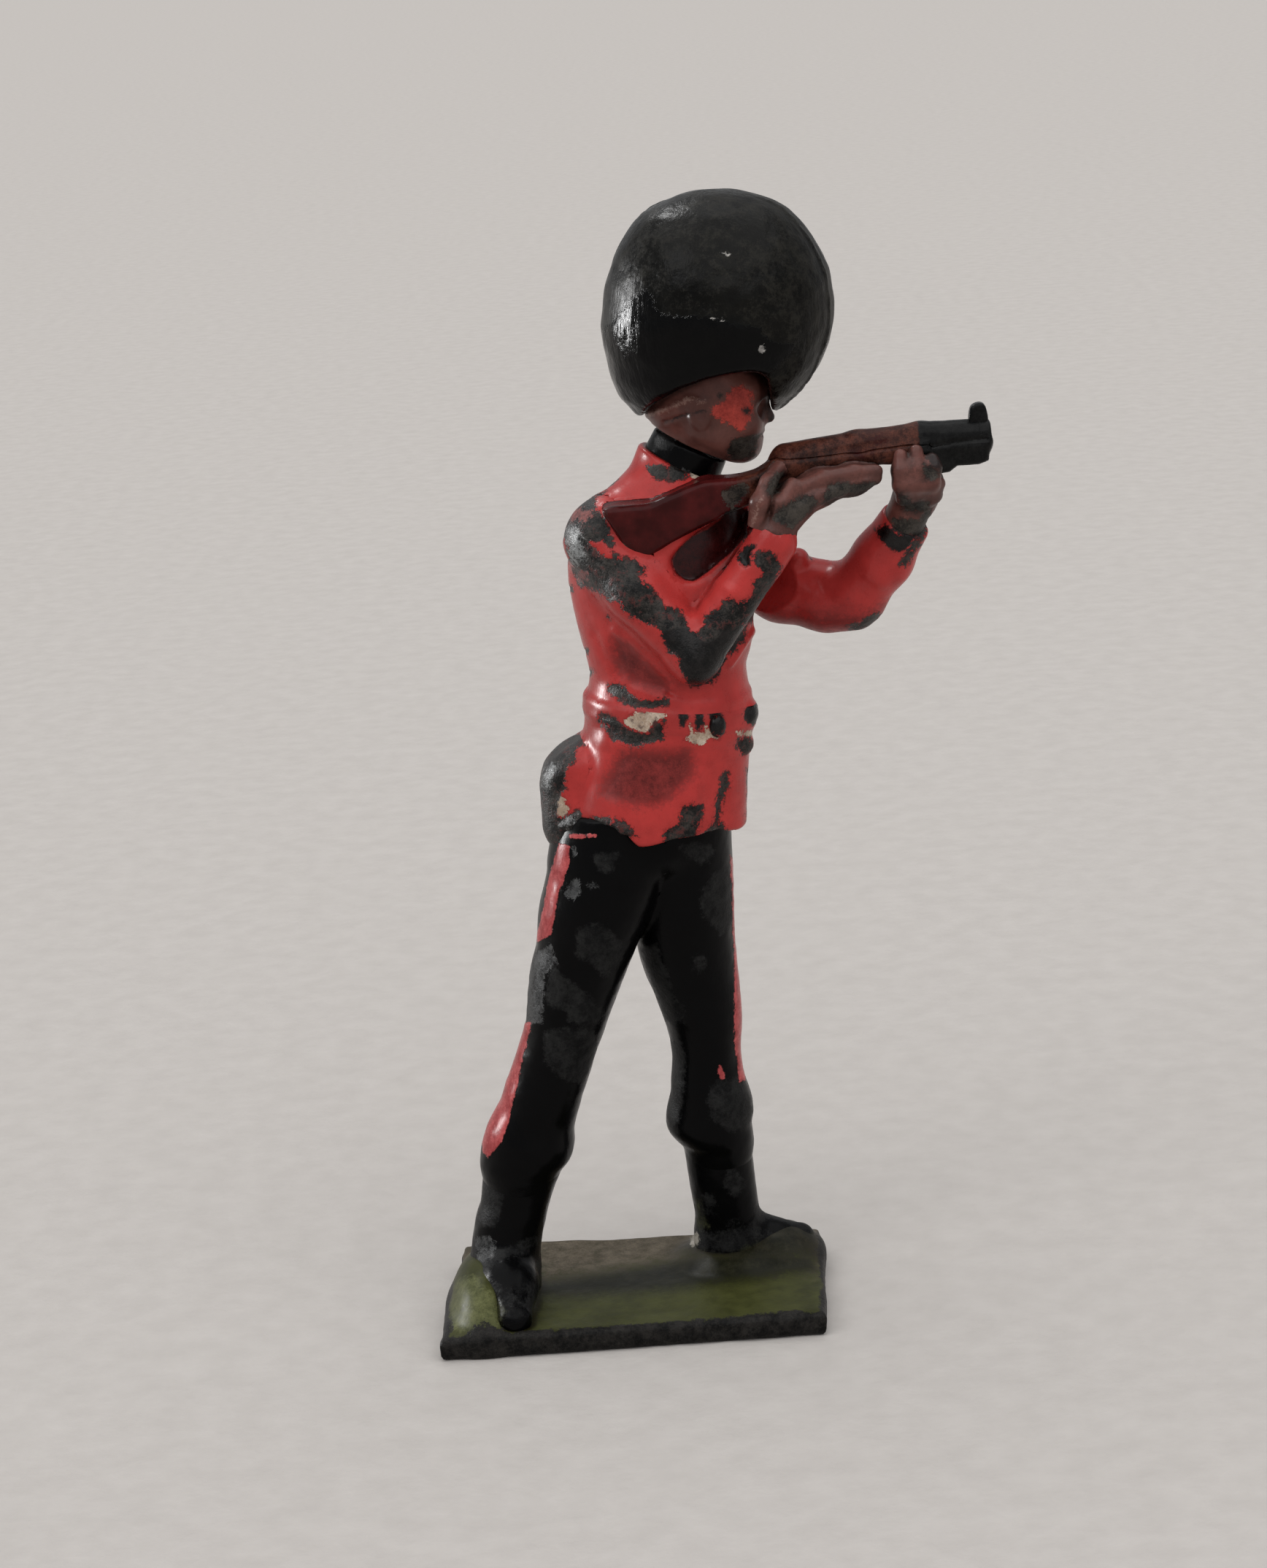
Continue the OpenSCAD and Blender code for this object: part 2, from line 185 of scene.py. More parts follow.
class Loft:
    """Upright body of oval sections, rows of (z, cx, cy, rx, ry)."""

    def __init__(self, rows, top=None, low=None, rim=0.2):
        c = smooth_curve(sorted(rows), 8)
        keep = np.concatenate([[True], np.diff(c[:, 0]) > 1e-6])
        self.c = c[keep]
        self.top = rows[-1][0] if top is None else top
        self.low = rows[0][0] if low is None else low
        self.rim = rim

    def at(self, z):
        return [np.interp(z, self.c[:, 0], self.c[:, k]) for k in (1, 2, 3, 4)]

    def side(self, P):
        cx, cy, rx, ry = self.at(P[:, 2])
        x, y = P[:, 0] - cx, P[:, 1] - cy
        k0 = np.sqrt((x / rx) ** 2 + (y / ry) ** 2)
        k1 = np.sqrt((x / rx ** 2) ** 2 + (y / ry ** 2) ** 2)
        return np.where(k1 > 1e-9, k0 * (k0 - 1) / np.maximum(k1, 1e-9), -np.minimum(rx, ry))

    def __call__(self, P):
        d = self.side(P)
        z = P[:, 2]
        return round_join(d, np.maximum(z - self.top, self.low - z), self.rim)


# ------------------------------------------------------------------ meshing
def mesh_field(parts, lo, hi, h):
    """Quads of the zero set of max(parts). Vertices lie on the fields, and on both where two meet."""
    f = (lambda P: np.maximum.reduce([g(P) for g in parts])) if len(parts) > 1 else parts[0]
    lo, hi = V3(*lo) - 2.5 * h, V3(*hi) + 2.5 * h
    s = 4
    n = np.ceil((hi - lo) / (h * s)).astype(int) + 1
    blk = np.stack(np.meshgrid(*[np.arange(k) for k in n], indexing="ij"), -1).reshape(-1, 3)
    centre = lo + (blk * s + (s - 1) / 2.0) * h
    dc = f(centre)
    N = n * s
    D = np.repeat(np.repeat(np.repeat(dc.reshape(n), s, 0), s, 1), s, 2)
    near = blk[np.abs(dc) < 1.75 * s * h]
    off = np.stack(np.meshgrid(*[np.arange(s)] * 3, indexing="ij"), -1).reshape(-1, 3)
    idx = (near[:, None, :] * s + off[None]).reshape(-1, 3)
    for a in range(0, len(idx), 250000):
        I = idx[a:a + 250000]
        D[I[:, 0], I[:, 1], I[:, 2]] = f(lo + I * h)
    ins = D < 0
    corner = [(dx, dy, dz) for dx in (0, 1) for dy in (0, 1) for dz in (0, 1)]
    sl = lambda o: tuple(slice(v, N[k] - 1 + v) for k, v in enumerate(o))
    cnt = sum(ins[sl(o)].astype(np.int8) for o in corner)
    act = np.argwhere((cnt > 0) & (cnt < 8))
    vals = np.stack([D[act[:, 0] + o[0], act[:, 1] + o[1], act[:, 2] + o[2]] for o in corner], 1)
    acc, num = np.zeros((len(act), 3)), np.zeros(len(act))
    for i, a in enumerate(corner):
        for j, b in enumerate(corner):
            if j > i and sum(abs(p - q) for p, q in zip(a, b)) == 1:
                va, vb = vals[:, i], vals[:, j]
                m = (va < 0) != (vb < 0)
                t = np.where(m, va / np.where(m, va - vb, 1), 0)
                acc += m[:, None] * (V3(*a) + t[:, None] * (V3(*b) - V3(*a)))
                num += m
    verts = lo + (act + acc / num[:, None]) * h
    vid = np.full(tuple(N - 1), -1, dtype=np.int64)
    vid[act[:, 0], act[:, 1], act[:, 2]] = np.arange(len(act))
    quads = []
    for ax in range(3):
        o1, o2 = [k for k in range(3) if k != ax]
        a = [slice(None)] * 3
        b = [slice(None)] * 3
        a[ax], b[ax] = slice(0, N[ax] - 1), slice(1, N[ax])
        A, B = ins[tuple(a)], ins[tuple(b)]
        for flip, M in ((False, A & ~B), (True, ~A & B)):
            E = np.argwhere(M)
            E = E[(E[:, o1] > 0) & (E[:, o2] > 0) & (E[:, o1] < N[o1] - 1) & (E[:, o2] < N[o2] - 1)]
            q = []
            for d1, d2 in ((1, 1), (0, 1), (0, 0), (1, 0)):
                C = E.copy()
                C[:, o1] -= d1
                C[:, o2] -= d2
                q.append(vid[C[:, 0], C[:, 1], C[:, 2]])
            q = np.stack(q, 1)
            if (ax == 1) != flip:
                q = q[:, ::-1]
            quads.append(q)
    quads = np.concatenate(quads)
    quads = quads[(quads >= 0).all(1)]
    verts = settle(parts, verts, h)
    return verts, quads


def gradient(g, P, e=0.012):
    out = np.empty_like(P)
    for k in range(3):
        d = np.zeros(3)
        d[k] = e
        out[:, k] = (g(P + d) - g(P - d)) / (2 * e)
    return out


def settle(parts, P, h):
    start = P.copy()
    for it in range(3):
        val = np.stack([g(P) for g in parts], 1)
        if len(parts) == 1:
            G = gradient(parts[0], P)
            step = -(val[:, 0] / np.maximum((G * G).sum(1), 0.05))[:, None] * G
        else:
            order = np.argsort(-val, 1)[:, :2]
            v1 = np.take_along_axis(val, order[:, :1], 1)[:, 0]
            v2 = np.take_along_axis(val, order[:, 1:2], 1)[:, 0]
            G1, G2 = np.zeros_like(P), np.zeros_like(P)
            both = v2 > -0.8 * h
            for k, g in enumerate(parts):
                m = order[:, 0] == k
                if m.any():
                    G1[m] = gradient(g, P[m])
                m = (order[:, 1] == k) & both
                if m.any():
                    G2[m] = gradient(g, P[m])
            a11 = np.maximum((G1 * G1).sum(1), 0.05)
            step = -(v1 / a11)[:, None] * G1
            a22, a12 = (G2 * G2).sum(1), (G1 * G2).sum(1)
            det = a11 * a22 - a12 * a12
            ok = both & (det > 0.12)
            l1 = np.where(ok, (-v1 * a22 + v2 * a12) / np.where(ok, det, 1), 0)
            l2 = np.where(ok, (-v2 * a11 + v1 * a12) / np.where(ok, det, 1), 0)
            step = np.where(ok[:, None], l1[:, None] * G1 + l2[:, None] * G2, step)
        n = np.sqrt((step * step).sum(1))
        step *= (np.minimum(n, 0.7 * h) / np.maximum(n, 1e-9))[:, None]
        P = P + step
    move = P - start
    n = np.sqrt((move * move).sum(1))
    return start + move * (np.minimum(n, 0.95 * h) / np.maximum(n, 1e-9))[:, None]


# ------------------------------------------------------------------ forms: cap, head, collar
HAT_C = smooth_curve([(50, 6.6), (52, 7.04), (54, 7.42), (56, 7.58), (58, 7.68), (60, 7.66), (62.6, 7.6)], 6)
_p = smooth_curve([(0, 62.62), (1.0, 62.55), (1.95, 62.34), (3.4, 61.74), (4.3, 61.0), (5.05, 59.98), (5.58, 58.9), (5.92, 57.94),
                   (6.06, 56.97), (6.13, 56.0), (6.04, 55.04), (5.8, 54.08), (5.47, 53.1), (4.9, 52.15), (4.4, 51.66),
                   (3.85, 51.1), (3.2, 50.7), (2.2, 50.5), (0, 50.45)], 4)
HAT_P = np.concatenate([_p, (_p * [-1, 1])[::-1][1:-1]])
HAT_CUT = smooth_curve([(2.5, 48.6), (3.05, 50.4), (3.8, 51.8), (5.3, 52.82), (6.8, 53.38), (8.3, 53.62), (9.3, 53.56), (9.92, 53.2),
                        (10.06, 52.5), (10.12, 51.6), (10.3, 48.6)], 5)


def cap_form(P):
    x = P[:, 0] - np.interp(P[:, 2], HAT_C[:, 0], HAT_C[:, 1])
    rho = np.sqrt(x * x + (P[:, 1] * 1.06) ** 2)
    d = polygon2(rho, P[:, 2], HAT_P)
    d = smax(d, -polygon2(P[:, 0], P[:, 2], HAT_CUT), 0.45)
    return d


NECK = V3(5.5, 0, 48.8)
NECK_N = V3(0.46947156, 0, 0.88294759)


def neck_h(P):
    return (P - NECK) @ NECK_N


def neck_r(P):
    Q = P - NECK
    return length(Q - (Q @ NECK_N)[:, None] * NECK_N)


def head_form(P):
    Q = P * V3(1, 0, 1) + np.abs(P) * V3(0, 1, 0)
    d = ellipsoid(P, (6.75, 0, 52.2), (3.15, 2.85, 3.3))
    d = smin(d, ellipsoid(P, (9.0, 0, 52.4), (1.34, 2.1, 1.05)), 0.5)
    d = smin(d, ellipsoid(P, (7.75, 0, 50.1), (1.95, 2.05, 1.9)), 0.9)
    d = smin(d, ellipsoid(P, (5.3, 0, 51.7), (1.9, 2.1, 1.85)), 0.5)
    d = smin(d, ball(P, (8.75, 0, 48.95), 0.66), 0.7)
    d = smin(d, cone(Q, (6.4, 2.0, 50.2), 0.5, (8.6, 0.9, 48.95), 0.42), 0.8)
    d = smin(d, ball(Q, (8.75, 1.15, 50.35), 0.62), 0.6)
    d = smin(d, cone(Q, (9.66, 0.2, 51.8), 0.46, (9.0, 1.5, 51.65), 0.36), 0.4)
    d = smax(d, -ball(Q, (9.75, 0.98, 51.15), 0.42), 0.35)
    d = smin(d, ellipsoid(Q, (9.1, 0.92, 51.15), (0.34, 0.42, 0.26)), 0.12)
    d = smin(d, cone(P, (9.72, 0, 51.35), 0.24, (10.0, 0, 50.5), 0.3), 0.3)
    d = smin(d, ball(Q, (9.62, 0.26, 50.4), 0.24), 0.22)
    d = smin(d, cone(Q, (9.5, 0, 49.78), 0.19, (9.25, 0.52, 49.7), 0.12), 0.18)
    d = smin(d, cone(Q, (9.36, 0, 49.42), 0.2, (9.12, 0.45, 49.45), 0.13), 0.16)
    d = smax(d, -cone(Q, (9.75, 0, 49.6), 0.07, (9.35, 0.6, 49.58), 0.07), 0.12)
    ear = ellipsoid(Q, (6.35, 2.62, 51.35), (0.55, 0.26, 0.85))
    ear = smax(ear, -ellipsoid(Q, (6.45, 2.88, 51.4), (0.26, 0.16, 0.45)), 0.15)
    d = smin(d, ear, 0.3)
    neck = np.maximum(neck_r(P) - 1.86, neck_h(P) - 3.0)
    d = smin(d, neck, 0.5)
    return d


def collar_form(P):
    h, r = neck_h(P), neck_r(P)
    d = round_join(r - (2.12 - 0.06 * h), np.maximum(h - 0.6, -0.75 - h), 0.14)
    return d


# ------------------------------------------------------------------ forms: tunic, sleeves, hands, rifle
TUNIC = Loft([(33.6, 3.72, 0.0, 4.5, 4.0), (34.8, 3.78, 0.0, 4.42, 3.95), (35.6, 3.8, 0.0, 4.5, 4.05), (36.2, 3.76, 0.0, 4.36, 3.95),
              (37.2, 3.83, 0.0, 4.25, 3.8), (38.3, 3.9, 0.0, 4.5, 3.9), (39.5, 3.86, 0.0, 4.72, 4.0), (41, 3.92, 0.0, 5.0, 4.1),
              (42.5, 3.97, 0.0, 5.2, 4.15), (44, 4.1, 0.0, 5.15, 4.0), (45.3, 4.3, 0.0, 4.75, 3.7), (46.5, 4.55, 0.0, 4.0, 3.2),
              (47.4, 4.8, 0.0, 3.2, 2.8), (48.3, 5.0, 0.0, 2.55, 2.45), (49.6, 5.15, 0.0, 2.1, 2.1)], rim=0.3)
R_SLEEVE = [(0.8, -2.15, 44.85, 2.08), (2.5, -3.75, 42.3, 1.6), (5.35, -4.7, 38.75, 1.32), (9.8, -4.2, 44.6, 1.27)]
L_SLEEVE = [(7.9, 4.1, 41.5, 1.6), (10.3, 3.7, 40.5, 1.92), (12.7, 3.0, 39.9, 1.84), (14.05, 2.4, 40.0, 1.74), (15.75, 1.2, 42.3, 1.6), (17.05, 0.05, 44.5, 1.38)]
RIFLE_T = math.tan(math.radians(8.5))
STOCK = smooth_curve([(0.98, 46.75), (1.4, 45.97), (2.1, 44.8), (2.7, 44.42), (3.2, 44.24), (3.6, 44.36), (4.5, 44.86), (5.5, 45.3), (7.0, 45.88), (8.6, 46.4),
                      (10.2, 47.0), (11.4, 47.75), (12.6, 47.95), (14.3, 48.05), (16.5, 47.9), (18.3, 47.75), (18.3, 48.9),
                      (15.9, 48.9), (12.3, 48.75), (10.9, 48.75), (10.2, 48.72), (9.65, 48.4), (9.0, 48.1), (8.1, 47.95), (7.2, 47.95), (6.4, 47.95),
                      (5.5, 47.7), (4.5, 47.35), (3.5, 47.02), (2.5, 46.97), (1.5, 46.98)], 3, closed=True)


def rifle_v(P):
    """Sideways distance from the rifle's own plane, towards the figure's left."""
    return (P[:, 1] + 3.5 - (P[:, 0] - 2.2) * RIFLE_T) * math.cos(math.radians(8.5))


def stock_form(P):
    d2 = polygon2(P[:, 0], P[:, 2], STOCK)
    return round_join(d2, np.abs(rifle_v(P)) - 0.97, 0.38)


BARREL = [(10.7, 48.62), (14.5, 48.95), (17.8, 49.12), (21.62, 49.02)]


def barrel_form(P):
    out = None
    for (xa, za), (xb, zb) in zip(BARREL[:-1], BARREL[1:]):
        a, b = V3(xa, -3.5 + (xa - 2.2) * RIFLE_T, za), V3(xb, -3.5 + (xb - 2.2) * RIFLE_T, zb)
        d = cone(P, a, 0.8, b, 0.8)
        out = d if out is None else smin(out, d, 0.3)
    out = round_join(out, P[:, 0] - 21.62, 0.16)
    hole = np.maximum(np.sqrt((P[:, 2] - 49.02) ** 2 + (P[:, 1] + 3.5 - 19.42 * RIFLE_T) ** 2) - 0.34, 21.0 - P[:, 0])
    return smax(out, -hole, 0.1)


def nose_form(P):
    d2 = polygon2(P[:, 0], P[:, 2], [(18.0, 47.45), (18.9, 47.2), (19.35, 47.25), (19.75, 47.55), (20.9, 47.52), (21.45, 47.7), (21.5, 48.7), (18.0, 48.75)])
    return round_join(d2, np.abs(rifle_v(P)) - 0.85, 0.3)


def sight_form(P):
    d2 = polygon2(P[:, 0], P[:, 2], smooth_curve([(20.5, 49.5), (20.58, 50.45), (21.0, 50.72), (21.4, 50.5), (21.5, 49.5), (21.0, 49.4)], 4, closed=True))
    return round_join(d2, np.abs(rifle_v(P)) - 0.36, 0.16)


def r_sleeve_form(P):
    return chain(P, R_SLEEVE, 0.55)


def r_hand_form(P):
    d = chain(P, [(10.0, -4.0, 45.4, 1.12), (10.6, -3.6, 46.3, 1.12), (12.4, -3.0, 47.1, 0.92), (14.2, -2.7, 47.35, 0.8), (15.1, -2.5, 47.5, 0.6)], 0.5)
    d = smin(d, chain(P, [(8.95, -4.5, 45.3, 0.5), (9.2, -4.78, 46.8, 0.5), (9.75, -4.3, 47.8, 0.45), (10.25, -3.25, 48.2, 0.4)], 0.25), 0.16)
    d = smin(d, chain(P, [(10.0, -4.8, 45.3, 0.46), (10.3, -4.62, 46.7, 0.46), (10.95, -4.05, 47.5, 0.4)], 0.25), 0.16)
    d = smin(d, chain(P, [(11.0, -4.15, 46.2, 0.5), (12.0, -3.95, 46.75, 0.5), (13.4, -3.55, 47.15, 0.46), (14.8, -3.1, 47.3, 0.43), (15.3, -2.9, 47.45, 0.38)], 0.25), 0.16)
    d = smin(d, chain(P, [(11.2, -4.0, 47.3, 0.42), (12.6, -3.75, 47.72, 0.4), (14.2, -3.3, 47.85, 0.37), (15.4, -2.95, 47.8, 0.34)], 0.25), 0.16)
    return d


def r_cuff(P):
    return (P - V3(9.8, -4.6, 45.2)) @ V3(0.334, 0.0, 0.943)


def tunic_base(P):
    d = TUNIC(P)
    d = smin(d, cone(P, (4.6, -0.6, 46.2), 1.9, (1.6, -1.4, 45.4), 1.9), 1.2)
    d = smin(d, cone(P, (5.2, 1.0, 46.0), 1.9, (7.2, 2.6, 44.3), 1.7), 1.2)
    return d


def dent(P):
    """Hollow between rifle butt, chest and cuff."""
    d2 = polygon2(P[:, 0], P[:, 2], smooth_curve([(4.5, 44.0), (4.45, 43.3), (5.0, 42.75), (5.9, 42.8), (6.9, 43.5), (7.9, 44.4), (8.45, 45.4), (8.2, 46.2), (6.9, 45.7), (5.6, 45.0)], 4, closed=True))
    return d2


def upper(P):
    t = tunic_base(P)
    pit = np.maximum(dent(P) * 0.9, P[:, 1] + 1.0)
    t = smax(t, -np.maximum(pit, -(t + 0.6)), 0.45)
    d = smin(t, r_sleeve_form(P), 0.85)
    d = smin(d, stock_form(P), 0.3)
    m = (P[:, 0] > 9.0) & (P[:, 2] > 46.4)
    if m.any():
        d[m] = smin(d[m], barrel_form(P[m]), 0.5)
    d = smin(d, r_hand_form(P), 0.25)
    return d


def swing(P, deg):
    """P carried back to the left arm's rest position from its place at deg of swing."""
    a = math.radians(deg)
    x, z = P[:, 0] - 7.6, P[:, 2] - 42.2
    return np.stack([7.6 + x * math.cos(a) - z * math.sin(a), P[:, 1], 42.2 + x * math.sin(a) + z * math.cos(a)], 1)


def l_sleeve_core(P):
    d = chain(P, L_SLEEVE, 0.6)
    d = smax(d, (P - V3(16.95, 0.1, 44.6)) @ V3(0.48, -0.43, 0.76), 0.25)
    eye = round_join(np.sqrt((P[:, 0] - 7.6) ** 2 + (P[:, 2] - 42.2) ** 2) - 1.98, np.abs(P[:, 1] - 4.0) - 1.05, 0.3)
    d = smin(d, eye, 0.3)
    return np.maximum(d, 2.95 - P[:, 1] - np.maximum(np.sqrt((P[:, 0] - 7.6) ** 2 + (P[:, 2] - 42.2) ** 2) - 2.6, 0) * 1.2)


def l_sleeve_form(P):
    return smin(l_sleeve_core(P), ellipsoid(P, (11.2, 2.7, 42.15), (0.62, 0.8, 0.6)), 0.35)


def l_hand_form(P):
    d = chain(P, [(16.95, 0.0, 44.5, 1.16), (17.6, -0.6, 46.0, 1.16), (18.1, -1.05, 46.65, 0.95)], 0.4)
    for x, lean, top in ((16.75, -0.05, 48.45), (17.5, 0.05, 48.6), (18.25, 0.12, 48.1)):
        y = -3.5 + (x - 2.2) * RIFLE_T - 1.36
        d = smin(d, chain(P, [(x + 0.15, y + 0.85, 46.1, 0.5), (x, y, 46.95, 0.48), (x + lean, y + 0.02, 47.7, 0.46), (x + lean, y + 0.2, top, 0.36)], 0.3), 0.34)
    return smin(d, chain(P, [(18.2, -1.5, 46.0, 0.5), (18.65, -1.9, 46.75, 0.42)], 0.3), 0.2)


STUD_Y = 5.08


def stud_form(P):
    """Rivet that the left arm swings on, with a hammered head."""
    r, y = np.sqrt((P[:, 0] - 7.6) ** 2 + (P[:, 2] - 42.2) ** 2), P[:, 1]
    head = round_join(r - 1.33, np.maximum(y - (STUD_Y + 0.58 - 0.26 * (r / 1.33) ** 2), STUD_Y - y), 0.14)
    return smin(head, np.maximum(r - 0.78, np.maximum(y - STUD_Y - 0.2, 0.9 - y)), 0.06)


SWEEP = [0, 6, 12, 18, 24, 30, 36, 42, 45]


def arm_room(P):
    """Room in the tunic that the left sleeve needs over its whole swing."""
    near = P[:, 0] > 3.0
    out = np.full(len(P), 50.0)
    if near.any():
        Q = P[near]
        out[near] = np.minimum.reduce([l_sleeve_core(swing(Q, a)) for a in SWEEP]) - 0.16
    return out


# ------------------------------------------------------------------ forms: belt, skirt, pouch
def belt_mid(P):
    return 35.2 - 0.12 * (P[:, 0] - 2.5)


SKIRT = Loft([(27.6, 2.25, 0.1, 5.3, 4.3), (28.4, 2.35, 0.1, 5.3, 4.3), (29.2, 2.48, 0.1, 5.22, 4.28), (30.2, 2.7, 0.1, 5.1, 4.25), (31, 2.9, 0.05, 4.95, 4.2),
              (32, 3.2, 0.0, 4.75, 4.1), (33, 3.45, 0.0, 4.62, 4.1), (33.9, 3.65, 0.0, 4.6, 4.1), (34.6, 3.72, 0.0, 4.55, 4.08), (36.4, 3.78, 0.0, 4.5, 4.05)], rim=0.1)
BELT = Loft([(33, 3.66, 0.0, 4.72, 4.2), (34.4, 3.72, 0.0, 4.68, 4.2), (36.6, 3.78, 0.0, 4.62, 4.16)], rim=0.1)


def step(a, b, x):
    t = np.clip((x - a) / (b - a), 0, 1)
    return t * t * (3 - 2 * t)


def hem(P):
    x, y = P[:, 0], P[:, 1]
    near = step(1.0, -2.0, y)
    return 28.3 + near * (1.35 * step(1.9, 0.5, x) + 0.35 * step(2.0, 4.0, x) * step(7.5, 5.0, x)) + 0.12 * noise(P * V3(1, 1, 0), 1.3, 61)


def skirt_raw(P):
    d = SKIRT.side(P)
    fold = 0.13 * np.sin(np.arctan2(P[:, 1] - 0.1, P[:, 0] - 2.6) * 7.0 + 0.6) * step(33.0, 29.5, P[:, 2])
    d = d + fold * 0.6
    d = round_join(d, P[:, 2] - (belt_mid(P) - 0.2), 0.3)
    d = smin(d, ellipsoid(P, (7.75, -0.8, 32.9), (0.5, 0.9, 0.55)), 0.3)
    d = round_join(d, hem(P) - P[:, 2], 0.22)
    return smin(d, pouch_raw(P), 0.6)


def pouch_raw(P):
    d = box(P, (-1.4, 0.1, 30.4), (2.2, 2.5, 3.35), 1.8)
    return smax(d, (P[:, 2] - 33.3) * 0.8 - (P[:, 0] + 2.0) * 0.6, 0.9)


def belt_raw(P):
    d = round_join(BELT.side(P), np.abs(P[:, 2] - belt_mid(P)) - 0.58, 0.3)
    return smin(d, ellipsoid(P, (8.0, -0.7, 34.6), (0.62, 1.1, 0.72)), 0.25)


def waist(d, P):
    """Skirt and belt grown onto the field d of the tunic above them."""
    return smin(smin(d, skirt_raw(P), 0.5), belt_raw(P), 0.35)


def skirt_form(P):
    return waist(TUNIC(P), P)


def over_belt(P):
    return P[:, 2] - (belt_mid(P) + 0.6)


def under_belt(P):
    return (belt_mid(P) - 0.6) - P[:, 2]


def belt_edge(P):
    return np.abs(P[:, 2] - belt_mid(P)) - 0.6


def buckle_form(P):
    Q = P - V3(6.3, -3.5, 34.66)
    a = math.radians(59)
    u, n = Q[:, 0] * math.sin(a) + Q[:, 1] * math.cos(a), Q[:, 0] * math.cos(a) - Q[:, 1] * math.sin(a)
    d = round_join(np.sqrt((u * 1.3) ** 2 + Q[:, 2] ** 2) - 0.62, np.abs(n) - 0.34, 0.26)
    return smin(d, ellipsoid(np.stack([u, n, Q[:, 2]], 1), (0, 0.22, 0), (0.34, 0.26, 0.44)), 0.12)


def coat(P):
    """Tunic, sleeve, rifle, hand, belt and skirt as one skin."""
    d = upper(P)
    m = P[:, 2] < 37.6
    if m.any():
        d[m] = waist(d[m], P[m])
    return d


def tunic_form(P):
    d = round_join(coat(P), neck_h(P) + 0.5, 0.2)
    return np.maximum(d, -arm_room(P))


# ------------------------------------------------------------------ forms: legs, boots, slab
R_LEG = Loft([(7.3, -6.5, -0.1, 1.98, 2.06), (8.0, -6.3, -0.1, 2.13, 2.22), (8.6, -6.13, -0.1, 2.34, 2.42), (9.3, -5.93, -0.1, 2.56, 2.64), (10.2, -5.72, -0.1, 2.66, 2.75), (11.2, -5.45, -0.15, 2.5, 2.65), (12.0, -5.15, -0.2, 2.36, 2.55),
              (12.9, -4.77, -0.25, 2.3, 2.5), (13.8, -4.38, -0.3, 2.3, 2.5), (15.5, -3.75, -0.4, 2.25, 2.5), (17.2, -3.1, -0.5, 2.3, 2.6), (18.9, -2.6, -0.55, 2.52, 2.75),
              (20.7, -2.05, -0.6, 2.76, 2.95), (22.3, -1.45, -0.65, 2.9, 3.1), (24.1, -0.85, -0.6, 3.25, 3.3), (26, -0.15, -0.5, 3.42, 3.4), (27.4, 0.1, -0.4, 3.45, 3.4), (29.8, 0.6, -0.2, 3.3, 3.3)], rim=0.3)
L_LEG = Loft([(7.0, 5.0, 2.75, 1.8, 1.9), (7.8, 4.97, 2.65, 1.93, 2.05), (8.5, 4.9, 2.6, 2.05, 2.15), (9.0, 4.72, 2.55, 2.24, 2.32), (9.6, 4.57, 2.5, 2.42, 2.47), (10.4, 4.62, 2.45, 2.48, 2.55), (11.4, 4.63, 2.4, 2.32, 2.5),
              (12.2, 4.63, 2.35, 2.17, 2.4), (13.1, 4.6, 2.3, 2.0, 2.3), (14.0, 4.58, 2.25, 1.94, 2.3), (14.9, 4.6, 2.2, 2.0, 2.35), (15.8, 4.58, 2.1, 2.12, 2.4),
              (16.7, 4.48, 2.0, 2.25, 2.5), (18.0, 4.28, 1.9, 2.4, 2.65), (19.3, 4.03, 1.8, 2.6, 2.8), (21, 3.85, 1.6, 2.75, 2.95), (23, 3.8, 1.3, 2.85, 3.1), (25, 3.85, 1.1, 2.85, 3.2), (27.4, 3.8, 0.8, 2.95, 3.3), (29.8, 3.7, 0.4, 3.1, 3.3)], rim=0.3)


def r_leg_raw(P):
    return R_LEG(P)


def l_leg_raw(P):
    return L_LEG(P)


def legs(P):
    d = smin(r_leg_raw(P), l_leg_raw(P), 0.5)
    d = smin(d, ellipsoid(P, (2.5, 0.1, 27.8), (3.3, 3.35, 2.6)), 0.4)
    fold = 0.05 * np.sin(P[:, 2] * 2.1 + P[:, 0] * 0.9 + 1.3 * noise(P, 2.5, 73)) * step(16, 11, P[:, 2])
    return d + fold


R_SHAFT = Loft([(1.0, -7.5, 0.1, 1.9, 2.1), (2.4, -7.6, 0.0, 2.0, 2.2), (4.2, -7.35, -0.1, 2.0, 2.2), (5.9, -6.95, -0.1, 2.03, 2.2), (6.8, -6.65, -0.1, 2.0, 2.15),
                (7.7, -6.4, -0.1, 2.1, 2.2), (8.6, -6.15, -0.1, 2.25, 2.3), (9.6, -5.9, -0.1, 2.2, 2.3)], rim=0.2)
L_SHAFT = Loft([(1.0, 5.3, 3.2, 1.85, 1.9), (3.2, 5.25, 3.2, 1.86, 1.9), (4.2, 5.22, 3.1, 1.86, 1.95), (6.0, 5.07, 2.9, 1.9, 1.95), (7.8, 4.94, 2.7, 1.92, 2.0), (9.0, 4.8, 2.6, 1.9, 2.0)], rim=0.2)


def r_boot_form(P):
    d = R_SHAFT(P)
    d = smin(d, chain(P, [(-7.55, 0.6, 2.5, 1.6), (-7.3, -2.6, 2.55, 1.6), (-6.85, -5.25, 1.75, 1.0)], 0.8), 0.9)
    d = np.maximum(d, 1.0 - P[:, 2])
    return d


def l_boot_form(P):
    d = L_SHAFT(P)
    d = smin(d, chain(P, [(5.0, 3.2, 2.3, 1.5), (7.4, 3.5, 2.0, 1.15), (9.3, 3.7, 1.75, 0.95)], 0.8), 1.0)
    d = np.maximum(d, 1.0 - P[:, 2])
    return d


